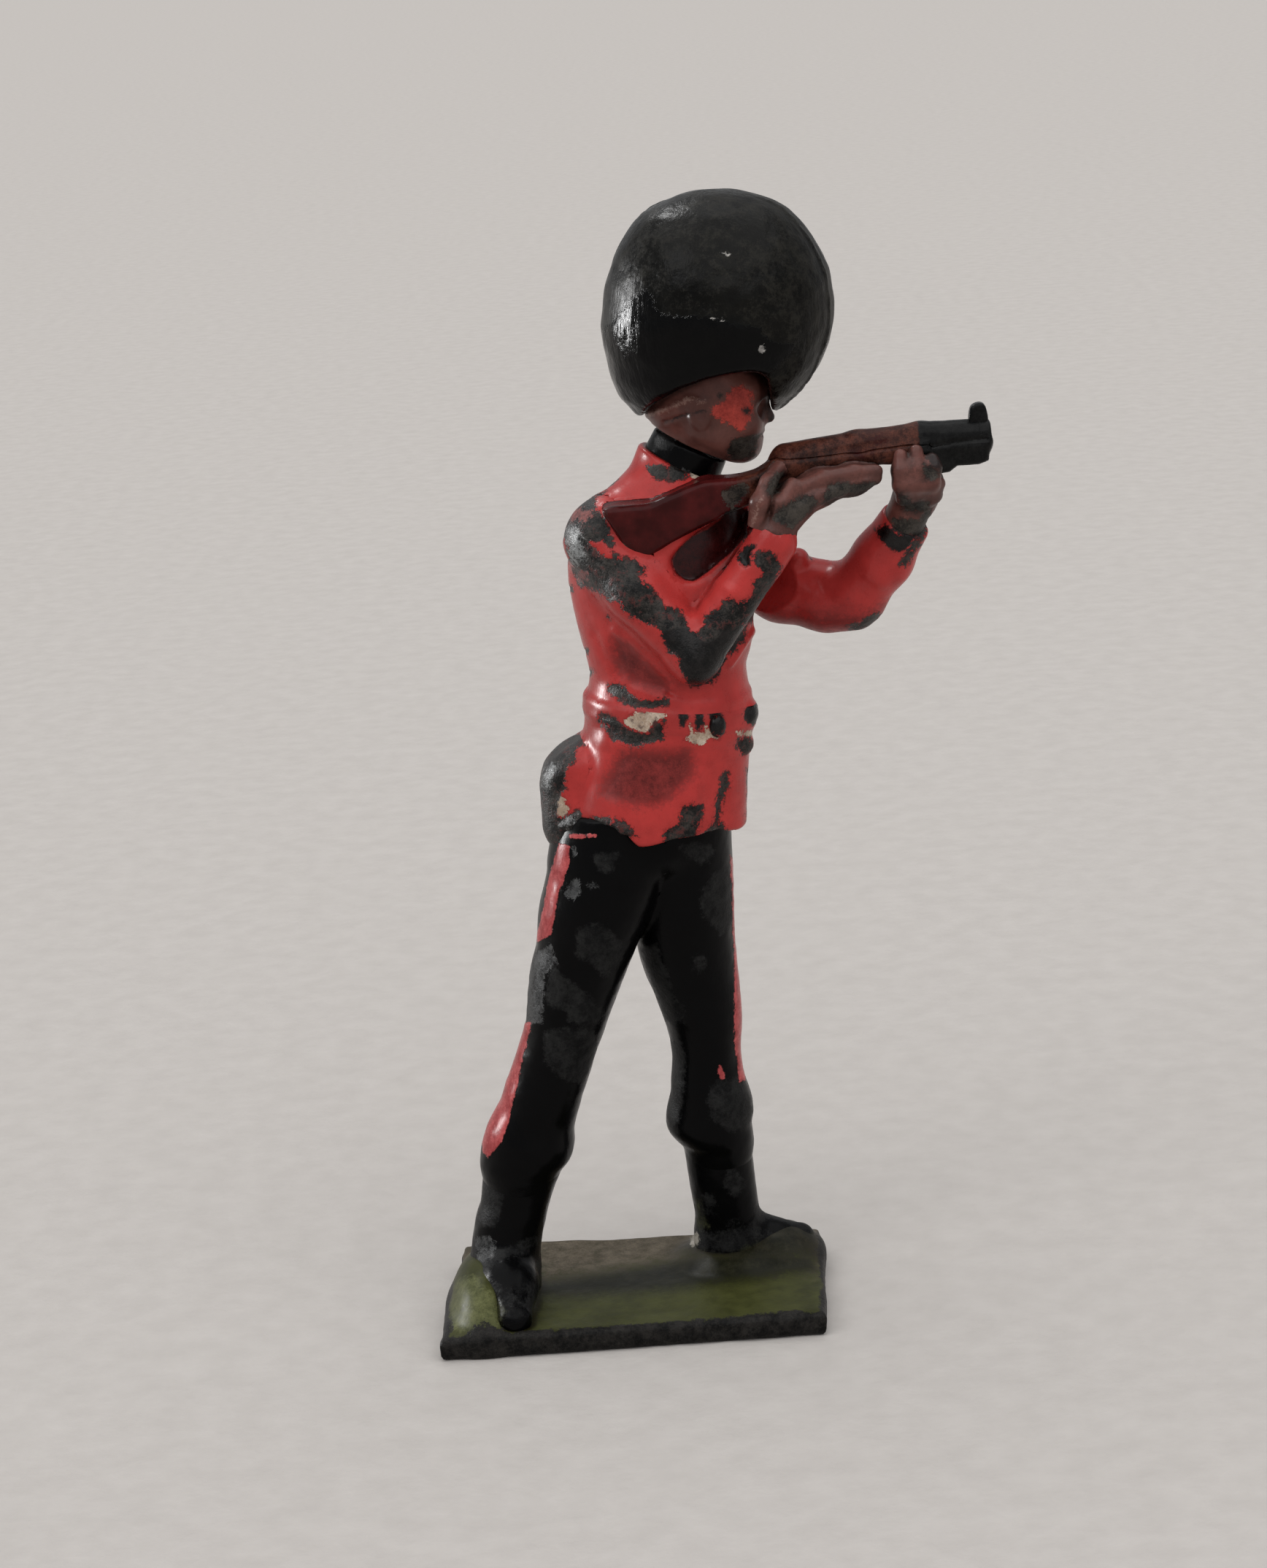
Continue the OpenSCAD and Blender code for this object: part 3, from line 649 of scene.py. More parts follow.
def base_form(P):
    plan = polygon2(P[:, 0], P[:, 1], [(-11.0, -6.7), (-4.0, -6.5), (3.0, -6.15), (10.5, -5.85), (10.65, 1.0), (10.55, 6.2), (-10.5, 6.3), (-10.6, 0.5)])
    plan = plan + 0.1 * noise(P * V3(1, 1, 0.5), 1.7, 92) + 0.05 * noise(P, 0.6, 93)
    top = 1.35 + 0.1 * noise(P * V3(1, 1, 0), 3.2, 91)
    d = round_join(plan, np.maximum(P[:, 2] - top, -P[:, 2]), 0.4)
    mound = ellipsoid(P, (-8.55, -1.4, 0.9), (2.2, 4.9, 3.0))
    d = smin(d, mound, 1.0)
    heap = ellipsoid(P, (8.1, 3.4, 1.0), (2.5, 2.6, 1.85))
    d = smin(d, heap, 1.0)
    d = smin(d, ellipsoid(P, (5.2, 2.6, 1.0), (2.9, 2.9, 1.3)), 1.0)
    d = np.maximum(d, -P[:, 2])
    return d


# ------------------------------------------------------------------ pieces
def relief(P):
    """Lumps of an old gravity casting and of thick brushed enamel."""
    return 0.035 * fbm(P, 1.9, 41) + 0.011 * noise(P, 0.55, 44)


def in_stock(P):
    return stock_form(P) - 0.05


def in_hand(P):
    return np.maximum(np.maximum(r_hand_form(P) - 0.1, -r_cuff(P)), -in_stock(P))


def in_arm(P):
    return r_sleeve_form(P) - 0.3


def l_in_hand(P):
    return l_hand_form(P) - 0.02


PIECES = {
    # name: (body, slot, voxel, fields, low corner, high corner)
    "bearskin_cap": ("head", "black_enamel", 0.17, [cap_form], (1.2, -6.1, 50.2), (14.0, 6.1, 62.9)),
    "head": ("head", "flesh_enamel", 0.085, [head_form, lambda P: 0.72 - neck_h(P)], (3.0, -3.3, 47.9), (10.5, 3.3, 55.7)),
    "collar": ("figure", "black_enamel", 0.11, [collar_form], (3.2, -2.4, 47.2), (8.0, 2.4, 50.6)),
    "tunic_body": ("figure", "red_enamel", 0.13, [tunic_form, lambda P: -over_belt(P), lambda P: -in_arm(P), lambda P: -in_stock(P), lambda P: -(r_hand_form(P) - 0.1)], (-1.6, -5.6, 34.6), (9.8, 4.6, 49.8)),
    "right_arm": ("figure", "red_enamel", 0.12, [upper, in_arm, lambda P: -in_hand(P), lambda P: -in_stock(P)], (-1.7, -6.6, 36.9), (11.0, 0.4, 47.4)),
    "right_hand": ("figure", "flesh_enamel", 0.1, [upper, lambda P: r_hand_form(P) - 0.1, lambda P: -r_cuff(P), lambda P: -in_stock(P)], (7.7, -5.6, 42.2), (16.0, -1.6, 48.9)),
    "rifle_stock": ("figure", "brown_enamel", 0.1, [upper, in_stock, lambda P: np.where(P[:, 0] > 9.0, stock_form(P) - barrel_form(P), -1.0)], (0.5, -5.0, 43.8), (18.5, 0.3, 49.3)),
    "rifle_barrel": ("figure", "brown_enamel", 0.1, [lambda P: smin(smin(barrel_form(P), stock_form(P), 0.5), nose_form(P), 0.55), lambda P: barrel_form(P) - np.maximum(np.minimum(stock_form(P), nose_form(P)), 0.0)], (9.7, -3.5, 47.6), (21.8, 0.5, 50.1)),
    "nose_cap": ("figure", "black_enamel", 0.1, [lambda P: smin(barrel_form(P), nose_form(P), 0.55), lambda P: nose_form(P) - np.maximum(barrel_form(P), 0.0)], (18.0, -2.2, 47.4), (21.7, 0.6, 49.0)),
    "front_sight": ("figure", "black_enamel", 0.08, [sight_form], (20.3, -1.4, 49.2), (21.7, 0.0, 50.9)),
    "left_arm": ("left_arm", "red_enamel", 0.13, [l_sleeve_form], (5.4, -1.7, 38.0), (18.6, 5.5, 46.4)),
    "left_hand": ("left_arm", "flesh_enamel", 0.1, [l_hand_form, lambda P: -(stock_form(P) - 0.06), lambda P: -(barrel_form(P) - 0.06), lambda P: -(nose_form(P) - 0.06)], (15.6, -3.4, 43.5), (19.6, 1.4, 48.5)),
    "left_shoulder_stud": ("figure", "bare_metal", 0.09, [stud_form], (6.1, 0.8, 40.7), (9.1, 5.8, 43.7)),
    "waist_belt": ("figure", "white_enamel", 0.13, [skirt_form, belt_edge], (-1.0, -4.2, 33.6), (8.8, 4.2, 36.6)),
    "belt_buckle": ("figure", "white_enamel", 0.09, [buckle_form], (5.0, -4.4, 33.8), (7.5, -2.4, 35.6)),
    "tunic_skirt": ("figure", "red_enamel", 0.14, [skirt_form, lambda P: -under_belt(P), lambda P: -(pouch_raw(P) - 0.1)], (-3.4, -4.7, 28.0), (8.2, 4.7, 35.4)),
    "rear_pouch": ("figure", "red_enamel", 0.13, [skirt_form, lambda P: -under_belt(P), lambda P: pouch_raw(P) - 0.1], (-3.8, -3.0, 26.5), (1.0, 3.0, 34.4)),
    "right_trouser_leg": ("figure", "black_enamel", 0.15, [legs, lambda P: r_leg_raw(P) - l_leg_raw(P)], (-8.8, -4.2, 7.2), (5.0, 4.0, 30.0)),
    "left_trouser_leg": ("figure", "black_enamel", 0.15, [legs, lambda P: l_leg_raw(P) - r_leg_raw(P)], (0.0, -3.8, 6.9), (7.5, 5.2, 30.0)),
    "right_boot": ("figure", "black_enamel", 0.13, [r_boot_form], (-9.8, -6.2, 0.9), (-3.6, 2.6, 9.8)),
    "left_boot": ("figure", "black_enamel", 0.13, [l_boot_form], (2.8, 0.6, 0.9), (10.4, 5.4, 9.2)),
    "base_plate": ("figure", "green_enamel", 0.16, [base_form], (-11.2, -6.6, 0.0), (11.0, 6.6, 3.8)),
}
COARSE = 1.0


# ------------------------------------------------------------------ paint: where it changed colour or came off, and painted shade, shadow and highlights
# Outlines of paint patches and of painted shade, shadow and highlights, in pixels of the picture the camera takes (1736
# x 2148). They are laid on the sculpted surface once, as distances stored on the vertices.
PX_MM = 23.7
PATCH = {
    "V": [(840, 662), (832, 669), (823, 675), (814, 678), (817, 688), (815, 698), (823, 703), (831, 713), (836, 724), (838, 735), (841, 745), (839, 754), (844, 760), (850, 766), (865, 764), (876, 770), (886, 779), (884, 786), (875, 783), (874, 789), (886, 800), (897, 806), (903, 815), (905, 823), (909, 832), (920, 832), (933, 838), (941, 848), (945, 859), (956, 868), (962, 859), (965, 848), (973, 838), (987, 832), (994, 821), (1002, 819), (1013, 823), (1023, 821), (1029, 817), (1034, 806), (1031, 798), (1046, 787), (1036, 775), (1031, 764), (1040, 756), (1055, 755), (1065, 762), (1069, 775), (1067, 787), (1063, 800), (1055, 815), (1048, 829), (1044, 840), (1031, 850), (1023, 855), (1023, 865), (1019, 874), (1008, 886), (996, 901), (989, 911), (983, 928), (973, 935), (956, 941), (945, 937), (939, 926), (933, 916), (928, 897), (918, 893), (909, 880), (903, 863), (899, 857), (886, 857), (869, 848), (863, 842), (853, 834), (850, 825), (844, 821), (834, 823), (823, 813), (804, 806), (794, 800), (787, 787), (783, 775), (779, 758), (773, 743), (766, 733), (769, 720), (773, 707), (781, 693), (789, 680), (800, 669), (817, 661), (832, 658)],
    "Visl": [(807, 742), (815, 745), (825, 741), (832, 745), (841, 758), (840, 766), (829, 765), (820, 758), (813, 749)],
    "Vmot": [(779, 701), (792, 696), (808, 697), (812, 707), (800, 714), (783, 714)],
    "Vmot2": [(794, 783), (802, 780), (806, 789), (800, 796), (795, 793)],
    "Vshine": [(783, 728), (789, 745), (792, 766)],
    "dot": [(1008, 761), (1014, 752), (1023, 747), (1036, 748), (1028, 755), (1026, 762), (1028, 775), (1021, 778), (1014, 774)],
    "tear": [(922, 766), (930, 752), (949, 735), (970, 724), (986, 713), (994, 703), (1008, 693), (1034, 703), (1031, 728), (1017, 741), (1004, 756), (981, 775), (962, 792), (949, 797), (939, 795), (928, 787), (922, 777)],
    "butt": [(827, 701), (844, 695), (869, 693), (890, 691), (920, 678), (949, 665), (970, 659), (992, 667), (989, 699), (985, 712), (970, 718), (945, 730), (920, 743), (903, 752), (895, 760), (886, 762), (874, 758), (861, 752), (850, 737), (838, 722), (829, 709)],
    "colchip": [(886, 640), (889, 645), (897, 653), (912, 659), (928, 660), (939, 655), (945, 646), (943, 640)],
    "strip": [(945, 643), (962, 644), (987, 649), (988, 659), (970, 659), (954, 658), (946, 651)],
    "handchip": [(990, 674), (1002, 667), (1021, 663), (1025, 674), (1017, 686), (1002, 697), (994, 688)],
    "smudge": [(840, 874), (861, 882), (886, 909), (916, 935), (920, 949), (895, 945), (865, 935), (842, 920), (836, 893)],
    "edge1": [(833, 847)],
    "upchip": [(833, 937), (848, 937), (858, 943), (865, 954), (877, 960), (894, 960), (915, 958), (916, 966), (898, 970), (877, 970), (860, 967), (850, 960), (844, 952), (833, 949)],
    "beige": [(856, 985), (869, 977), (886, 974), (911, 975), (913, 981), (900, 987), (893, 992), (886, 1004), (875, 1002), (860, 994), (854, 992)],
    "lowchip": [(820, 979), (833, 978), (844, 985), (852, 994), (860, 1000), (877, 1006), (889, 1006), (896, 994), (911, 987), (911, 1004), (907, 1013), (886, 1019), (869, 1023), (852, 1018), (837, 1013), (831, 998), (820, 992)],
    "d1": [(932, 965), (938, 968), (942, 981), (938, 994), (932, 996), (930, 983)],
    "d2": [(954, 975), (962, 977), (964, 989), (959, 1001), (953, 1000), (954, 989)],
    "d3": [(974, 975), (987, 976), (993, 989), (991, 1002), (983, 1001), (975, 989)],
    "white": [(942, 985), (947, 994), (953, 1003), (964, 1003), (966, 994), (972, 997), (976, 1004), (987, 1005), (983, 1013), (972, 1010), (962, 1020), (951, 1019), (940, 1012), (947, 1004), (943, 994)],
    "bump": [(1023, 968), (1033, 958), (1044, 971), (1044, 985), (1033, 994), (1024, 991), (1020, 978)],
    "bumpw": [(1008, 1003), (1025, 1000), (1035, 1004), (1025, 1009), (1010, 1008)],
    "bump2": [(1010, 1014), (1020, 1009), (1033, 1016), (1031, 1027), (1018, 1033), (1009, 1023)],
    "skmar": [(848, 1029), (877, 1029), (911, 1032), (945, 1029), (951, 1046), (949, 1065), (936, 1076), (919, 1095), (898, 1105), (865, 1103), (839, 1095), (823, 1088), (825, 1072), (835, 1055), (842, 1038)],
    "pdark": [(772, 999), (799, 1007), (806, 1015), (791, 1023), (787, 1038), (781, 1044), (772, 1055), (775, 1065), (774, 1080), (766, 1090), (762, 1099), (764, 1109), (762, 1120), (755, 1130), (743, 1130), (732, 1101), (732, 1080), (736, 1050), (749, 1021), (762, 1001)],
    "ppale": [(759, 1099), (770, 1089), (776, 1099), (782, 1107), (774, 1116), (770, 1122), (762, 1117)],
    "pgrey": [(743, 1076), (749, 1055), (755, 1046), (759, 1055), (753, 1072), (749, 1082)],
    "hemroll": [(764, 1130), (774, 1122), (785, 1114), (793, 1110), (797, 1120), (818, 1120), (844, 1123), (854, 1126), (865, 1137), (873, 1146), (835, 1144), (818, 1141), (781, 1141), (764, 1137)],
    "hemred": [(781, 1143), (818, 1143), (820, 1146), (799, 1149), (781, 1148)],
    "hchip1": [(911, 1154), (909, 1139), (915, 1133), (928, 1128), (934, 1120), (932, 1109), (936, 1103), (951, 1100), (964, 1101), (963, 1112), (959, 1130), (955, 1144), (957, 1156)],
    "hchip2": [(959, 1147), (970, 1135), (976, 1128), (980, 1120), (980, 1103), (986, 1080), (989, 1063), (993, 1055), (999, 1059), (998, 1076), (991, 1101), (987, 1124), (993, 1135), (1004, 1141), (1008, 1149)],
    "rline": [(1024, 1055), (1030, 1055), (1032, 1080), (1031, 1109), (1025, 1127), (1022, 1126), (1025, 1101), (1024, 1076)],
    "fhandchip": [(1129, 679), (1139, 664), (1154, 661), (1169, 664), (1186, 661), (1201, 662), (1199, 674), (1189, 681), (1169, 689), (1144, 693), (1129, 689)],
    "fhandchip2": [(1065, 699), (1084, 689), (1099, 679), (1114, 679), (1119, 689), (1109, 702), (1094, 712), (1087, 722), (1070, 719), (1060, 712)],
    "fing_dark": [(1050, 669), (1062, 652), (1073, 646), (1075, 657), (1065, 674), (1055, 679)],
    "fing_hi": [(1045, 681), (1038, 692), (1036, 704), (1031, 719)],
    "muz": [(1264, 577), (1368, 545), (1368, 644), (1311, 635), (1300, 639), (1288, 647), (1273, 639), (1266, 615)],
    "rtopwear": [(1062, 622), (1079, 612), (1099, 607)],
    "lhchip1": [(1229, 674), (1241, 679), (1249, 689), (1264, 687), (1273, 689), (1271, 702), (1256, 702), (1241, 699), (1231, 689)],
    "lhchip2": [(1266, 635), (1278, 639), (1288, 647), (1278, 657), (1267, 657)],
    "cuff": [(1201, 725), (1213, 720), (1220, 725), (1229, 735), (1247, 732), (1252, 736), (1244, 750), (1232, 756), (1219, 749), (1205, 735)],
    "cuffgrey": [(1223, 709), (1244, 712), (1261, 714), (1266, 699), (1276, 699), (1275, 714), (1259, 746), (1241, 774), (1234, 774), (1239, 759), (1252, 739), (1249, 730), (1231, 734), (1224, 724)],
    "elbchip": [(1163, 856), (1179, 852), (1191, 843), (1205, 840), (1211, 841), (1199, 854), (1179, 863), (1162, 865)],
    "lumpchip": [(1102, 749), (1112, 751), (1116, 761), (1111, 764), (1106, 756)],
    "stripeR1": [(766, 1155), (781, 1158), (780, 1184), (772, 1208), (766, 1221), (761, 1251), (756, 1280), (747, 1285), (736, 1291), (735, 1283), (744, 1245), (752, 1205), (758, 1181)],
    "stripeR1b": [(734, 1288), (747, 1284), (755, 1288), (754, 1296), (742, 1293), (732, 1304)],
    "bareR": [(731, 1304), (747, 1301), (755, 1293), (761, 1318), (747, 1334), (742, 1371), (743, 1401), (718, 1401), (723, 1360), (727, 1323)],
    "g1": [(771, 1220), (782, 1208), (793, 1205), (795, 1221), (786, 1232), (775, 1226)],
    "g2": [(804, 1212), (815, 1210), (817, 1215), (807, 1217)],
    "g3": [(782, 1159), (790, 1162), (791, 1172), (786, 1173)],
    "w1": [(811, 1173), (833, 1168), (848, 1168), (846, 1184), (833, 1196), (822, 1192)],
    "w2": [(793, 1272), (811, 1264), (833, 1269), (838, 1283), (853, 1293), (852, 1312), (833, 1339), (811, 1323), (790, 1307)],
    "w3": [(758, 1315), (769, 1334), (790, 1352), (811, 1366), (825, 1387), (822, 1400), (779, 1400), (779, 1384), (755, 1379), (747, 1360)],
    "w4": [(961, 1224), (975, 1200), (996, 1184), (1006, 1210), (1006, 1259), (988, 1280), (980, 1267), (964, 1256), (959, 1234)],
    "w5": [(929, 1159), (956, 1154), (980, 1165), (972, 1181), (959, 1181), (937, 1170)],
    "w6": [(878, 1301), (897, 1293), (911, 1323), (921, 1358), (937, 1387), (937, 1400), (911, 1400), (897, 1358)],
    "w7": [(951, 1312), (964, 1309), (969, 1323), (959, 1332), (949, 1326)],
    "stripeL1": [(1000, 1170), (1004, 1178), (1008, 1237), (1010, 1280), (1015, 1318), (1020, 1371), (1020, 1401), (1008, 1401), (1006, 1371), (1006, 1318), (1004, 1264), (1002, 1210)],
    "stripeR2": [(715, 1402), (727, 1400), (725, 1417), (718, 1443), (710, 1478), (702, 1512), (698, 1535), (687, 1564), (677, 1578), (669, 1586), (662, 1578), (660, 1564), (663, 1541), (673, 1521), (687, 1495), (702, 1455), (711, 1420)],
    "stripeL2": [(1007, 1377), (1019, 1377), (1019, 1417), (1018, 1446), (1021, 1466), (1022, 1480), (1013, 1482), (1010, 1466), (1007, 1432), (1006, 1397)],
    "pinkL": [(982, 1466), (986, 1457), (993, 1469), (993, 1478), (987, 1479)],
    "w8": [(913, 1420), (930, 1426), (939, 1452), (936, 1495), (930, 1535), (918, 1544), (911, 1529), (916, 1489), (918, 1452)],
    "w9": [(972, 1495), (984, 1478), (1016, 1480), (1025, 1501), (1033, 1518), (1025, 1541), (1002, 1549), (976, 1535), (969, 1512)],
    "w10": [(746, 1414), (781, 1406), (815, 1414), (818, 1443), (798, 1483), (769, 1475), (746, 1455)],
    "w11": [(660, 1598), (677, 1601), (689, 1621), (689, 1653), (677, 1678), (649, 1680), (660, 1650)],
    "w12": [(999, 1598), (1013, 1607), (1019, 1624), (1007, 1638), (993, 1627)],
    "w13": [(964, 1638), (976, 1638), (982, 1650), (970, 1653)],
    "gb1": [(650, 1697), (669, 1694), (676, 1707), (672, 1726), (660, 1729), (652, 1718)],
    "gmound": [(639, 1711), (652, 1737), (669, 1763), (685, 1781), (698, 1792), (687, 1807), (685, 1837), (654, 1837), (613, 1829), (602, 1800), (610, 1770), (624, 1726)],
    "gyel": [(628, 1752), (647, 1748), (665, 1763), (687, 1796), (684, 1822), (650, 1826), (621, 1818), (610, 1789)],
    "brown": [(743, 1702), (839, 1695), (942, 1687), (950, 1711), (913, 1729), (839, 1742), (743, 1757)],
    "darkband": [(743, 1757), (839, 1742), (913, 1729), (965, 1718), (1042, 1711), (1116, 1718), (1120, 1741), (1024, 1755), (913, 1768), (802, 1774), (735, 1776)],
    "bedge": [(602, 1822), (621, 1822), (647, 1833), (669, 1840), (706, 1840), (735, 1837), (772, 1837), (817, 1831), (839, 1824), (876, 1822), (913, 1821), (957, 1818), (998, 1815), (1035, 1809), (1068, 1805), (1098, 1798), (1116, 1796), (1124, 1766), (1113, 1748), (1107, 1737), (1116, 1726), (1127, 1722), (1157, 1726), (1157, 1844), (950, 1866), (595, 1881)],
    "wchipL": [(944, 1697), (952, 1687), (960, 1689), (959, 1704), (950, 1713), (945, 1707)],
    "gl": [(950, 1641), (961, 1648), (967, 1667), (972, 1685), (961, 1687), (950, 1681)],
    "gloss": [(820, 456), (837, 445), (856, 420), (873, 403), (885, 397), (892, 403), (899, 417), (908, 431), (938, 434), (960, 433), (977, 435), (994, 439), (1016, 446), (1042, 449), (1044, 462), (1053, 466), (1088, 472), (1081, 487), (1059, 509), (1050, 516), (1016, 518), (977, 523), (943, 537), (913, 551), (890, 566), (862, 582), (837, 532), (820, 493)],
    "fleck": [(1039, 474), (1046, 472), (1049, 479), (1044, 486), (1040, 481)],
    "sc1": [(988, 346), (1000, 349)],
    "sc2": [(974, 436), (995, 439)],
    "ridge": [(1112, 327), (1122, 347), (1127, 372), (1129, 397), (1126, 431), (1117, 464), (1101, 504)],
    "redface": [(976, 558), (988, 549), (995, 540), (1002, 532), (1016, 529), (1031, 537), (1028, 550), (1034, 560), (1026, 574), (1016, 589), (1002, 580), (984, 574), (976, 567)],
    "fd1": [(986, 542)],
    "fd2": [(1023, 563)],
    "chin": [(988, 613), (1000, 596), (1022, 591), (1044, 588), (1059, 557), (1064, 582), (1044, 605), (1039, 633), (1002, 638), (988, 627)],
    "strap": [(885, 570), (913, 560), (943, 547), (966, 551)],
    "strap2": [(910, 578), (941, 568), (966, 563)],
    "colblk": [(922, 596), (988, 629), (984, 647), (966, 644), (932, 631), (921, 622)],
    "colgrey": [(897, 602), (910, 592), (924, 595), (922, 613), (913, 617), (901, 613)],
    "colchip2": [(887, 641), (914, 644), (918, 633), (941, 641), (943, 652), (924, 660), (896, 656)],
}


def project(P):
    Q = P - CAM_POS
    w = Q @ CAM_FW
    return PIC_W / 2 + CAM_F * (Q @ CAM_R) / w, PIC_H / 2 - CAM_F * (Q @ CAM_U) / w


def facing(P, N):
    Q = P - CAM_POS
    return -(Q * N).sum(1) / length(Q)


def patches(S, names, minus=(), grow=0.0):
    """Signed distance in mm, positive inside the named patches, on the side the camera sees."""
    out = np.full(len(S["P"]), -3.0)
    for n in names:
        pts = np.array(PATCH[n], dtype=float)
        x, y = S["px"], S["py"]
        m = (x > pts[:, 0].min() - 70) & (x < pts[:, 0].max() + 70) & (y > pts[:, 1].min() - 70) & (y < pts[:, 1].max() + 70)
        if m.any():
            out[m] = np.maximum(out[m], -polygon2(x[m], y[m], pts) / PX_MM + grow)
    for n in minus:
        out = np.minimum(out, polygon2(S["px"], S["py"], np.array(PATCH[n], dtype=float)) / PX_MM)
    return np.minimum(out, (S["face"] + 0.22) * 2.5)


def stroke(S, pts, r):
    """Signed distance to a brush line through picture points, r in mm."""
    pts = np.array(pts, dtype=float)
    best = np.full(len(S["P"]), 1e9)
    if len(pts) == 1:
        pts = np.concatenate([pts, pts + 0.01])
    for (ax, ay), (bx, by) in zip(pts[:-1], pts[1:]):
        ex, ey = bx - ax, by - ay
        t = np.clip(((S["px"] - ax) * ex + (S["py"] - ay) * ey) / max(ex * ex + ey * ey, 1e-9), 0, 1)
        best = np.minimum(best, np.hypot(S["px"] - ax - t * ex, S["py"] - ay - t * ey))
    return np.minimum(r - best / PX_MM, (S["face"] + 0.22) * 2.5)


def unseen(S, seed, scale, level):
    """Paint losses of the same kind for the sides that the camera doesn't see."""
    n = 0.9 * fbm(S["P"], scale, seed, 3) + 0.5 * S["edge"]
    return np.minimum((n - level) * 1.2, (0.05 - S["face"]) * 1.5)


def most(*a):
    return np.maximum.reduce(a)


def none(S):
    return np.full(len(S["P"]), -3.0)


def crease(S, pts, r, h):
    """Soft ridge (h above 0) or crease (h below 0) of r mm along picture points."""
    d = np.maximum(r - stroke(S, pts, r), 0.0)
    return h * np.exp(-(d / r) ** 2)


def paint_tunic(S):
    chip = most(patches(S, ["V"], minus=["Visl"]), patches(S, ["upchip", "colchip", "colchip2"]), stroke(S, [(833, 847)], 0.1),
                stroke(S, [(782, 806)], 0.16), stroke(S, [(802, 892)], 0.16), stroke(S, [(809, 921)], 0.14), stroke(S, [(900, 770)], 0.05), unseen(S, 5, 3.0, 0.36))
    deep = np.minimum(patches(S, ["V"]), (S["py"] - 872) / 24.0 + 1.1 * noise(S["P"], 1.1, 12) + 0.5 * noise(S["P"], 0.5, 13))
    # soft: the dark maroon in the fold valley is dirt and painted shade. dark: the hollow by the rifle butt is maroon
    # paint, made darker as painted shade.
    return {"chip": chip, "mott": patches(S, ["Vmot", "Vmot2"]), "dark": patches(S, ["tear"]), "soft": patches(S, ["smudge"]), "pale": patches(S, ["strip"]),
            # bare: the Vshine stroke is a painted highlight on the bare metal of the chip.
            "bare": stroke(S, PATCH["Vshine"], 0.3), "deep": most(deep, patches(S, ["dot"], grow=0.03))}


def shape_tunic(S):
    m = -0.26 * step(-0.45, 0.45, patches(S, ["smudge"]))
    m = m + crease(S, [(843, 864), (868, 882), (900, 912), (926, 940)], 0.28, 0.12) + crease(S, [(1046, 842), (1022, 878), (1000, 911)], 0.15, 0.17)
    m = m + crease(S, [(815, 870), (830, 905), (850, 928)], 0.25, -0.1) + crease(S, [(918, 948), (946, 958), (975, 955)], 0.2, -0.08)
    return m + crease(S, [(965, 790), (985, 800), (1005, 812)], 0.3, 0.06) - 0.16 * step(-0.05, 0.22, patches(S, ["dot"]))


def paint_skirt(S):
    return {"chip": most(np.minimum(patches(S, ["hemroll"], grow=0.05), 1.0), patches(S, ["hchip1", "hchip2", "rline", "bump2", "lowchip", "upchip"]), unseen(S, 9, 2.6, 0.4)),
            "soft": patches(S, ["skmar"]), "pale": patches(S, ["white", "bumpw"]), "dark": none(S), "mott": none(S),
            "bare": stroke(S, [(776, 1126), (788, 1124)], 0.12), "deep": patches(S, ["d1", "d2", "d3"], grow=0.06)}


def shape_skirt(S):
    m = -0.14 * step(-0.5, 0.5, patches(S, ["skmar"])) + 0.28 * step(-0.05, 0.3, patches(S, ["hemroll"]))
    m = m + crease(S, [(828, 1014), (820, 1060), (808, 1108)], 0.6, 0.07) + crease(S, [(998, 1062), (990, 1110), (984, 1140)], 0.2, -0.1)
    return m + crease(S, [(955, 1060), (950, 1120)], 0.4, 0.1) - 0.06 * step(-0.05, 0.15, patches(S, ["lowchip", "d1", "d2", "d3", "upchip"]))


def paint_pouch(S):
    d = paint_skirt(S)
    d["chip"] = most(d["chip"], patches(S, ["pdark"], grow=0.05), (S["py"] - 1118) / 20.0 + 0.3 * noise(S["P"], 1.2, 11), 28.9 - S["P"][:, 2] + 0.25 * noise(S["P"], 1.2, 11))
    d["pale"] = most(d["pale"], patches(S, ["ppale"]))
    # The pgrey patch on the pouch is a painted highlight.
    d["bare"] = most(d["bare"], patches(S, ["pgrey"]))
    return d


def paint_belt(S):
    return {"chip": most(patches(S, ["lowchip", "upchip", "bump"]), unseen(S, 14, 1.6, 0.3)), "dark": none(S),
            "pale": most(patches(S, ["beige", "white", "bumpw"]), np.minimum(0.6 * fbm(S["P"], 2.2, 15) + 0.12, -S["face"] * 2)),
            "soft": none(S), "mott": none(S), "bare": none(S), "deep": most(patches(S, ["bump"]) - 0.05, patches(S, ["d1", "d2", "d3"], grow=0.06))}


def paint_buckle(S):
    d = paint_belt(S)
    d["deep"] = 0.22 + 0.3 * noise(S["P"], 0.5, 16)
    d["pale"] = np.minimum(d["pale"], -0.3) + 0.5 * step(0.3, 0.8, S["P"][:, 2] - 34.66)
    return d


def paint_stud(S):
    n = 0.7 * fbm(S["P"], 1.1, 17) + 0.25 * noise(S["P"], 0.4, 18)
    return {"chip": most(n - 0.12, 0.8 * (S["edge"] - 0.55)), "bare": n - 0.3, "dark": none(S), "deep": none(S), "soft": none(S), "mott": none(S), "pale": none(S)}


def paint_left_arm(S):
    return {"chip": most(patches(S, ["cuffgrey", "elbchip", "lumpchip"]), unseen(S, 19, 2.4, 0.36)), "dark": none(S), "deep": patches(S, ["cuff"], grow=0.1),
            # soft: painted shade, dark maroon on the underside of the sleeve below z 39.4.
            "soft": np.minimum((39.4 - S["P"][:, 2]) * 0.5, 0.2), "mott": none(S), "pale": none(S), "bare": none(S)}


def shape_left_arm(S):
    return crease(S, [(1120, 800), (1140, 826), (1165, 840)], 0.4, -0.1) + crease(S, [(1190, 790), (1210, 800)], 0.35, 0.07)


HAT_PART = V3(0.309, 0.951, 0.0)


def hat_part(S):
    return (S["P"] - V3(7.6, 0, 0)) @ HAT_PART


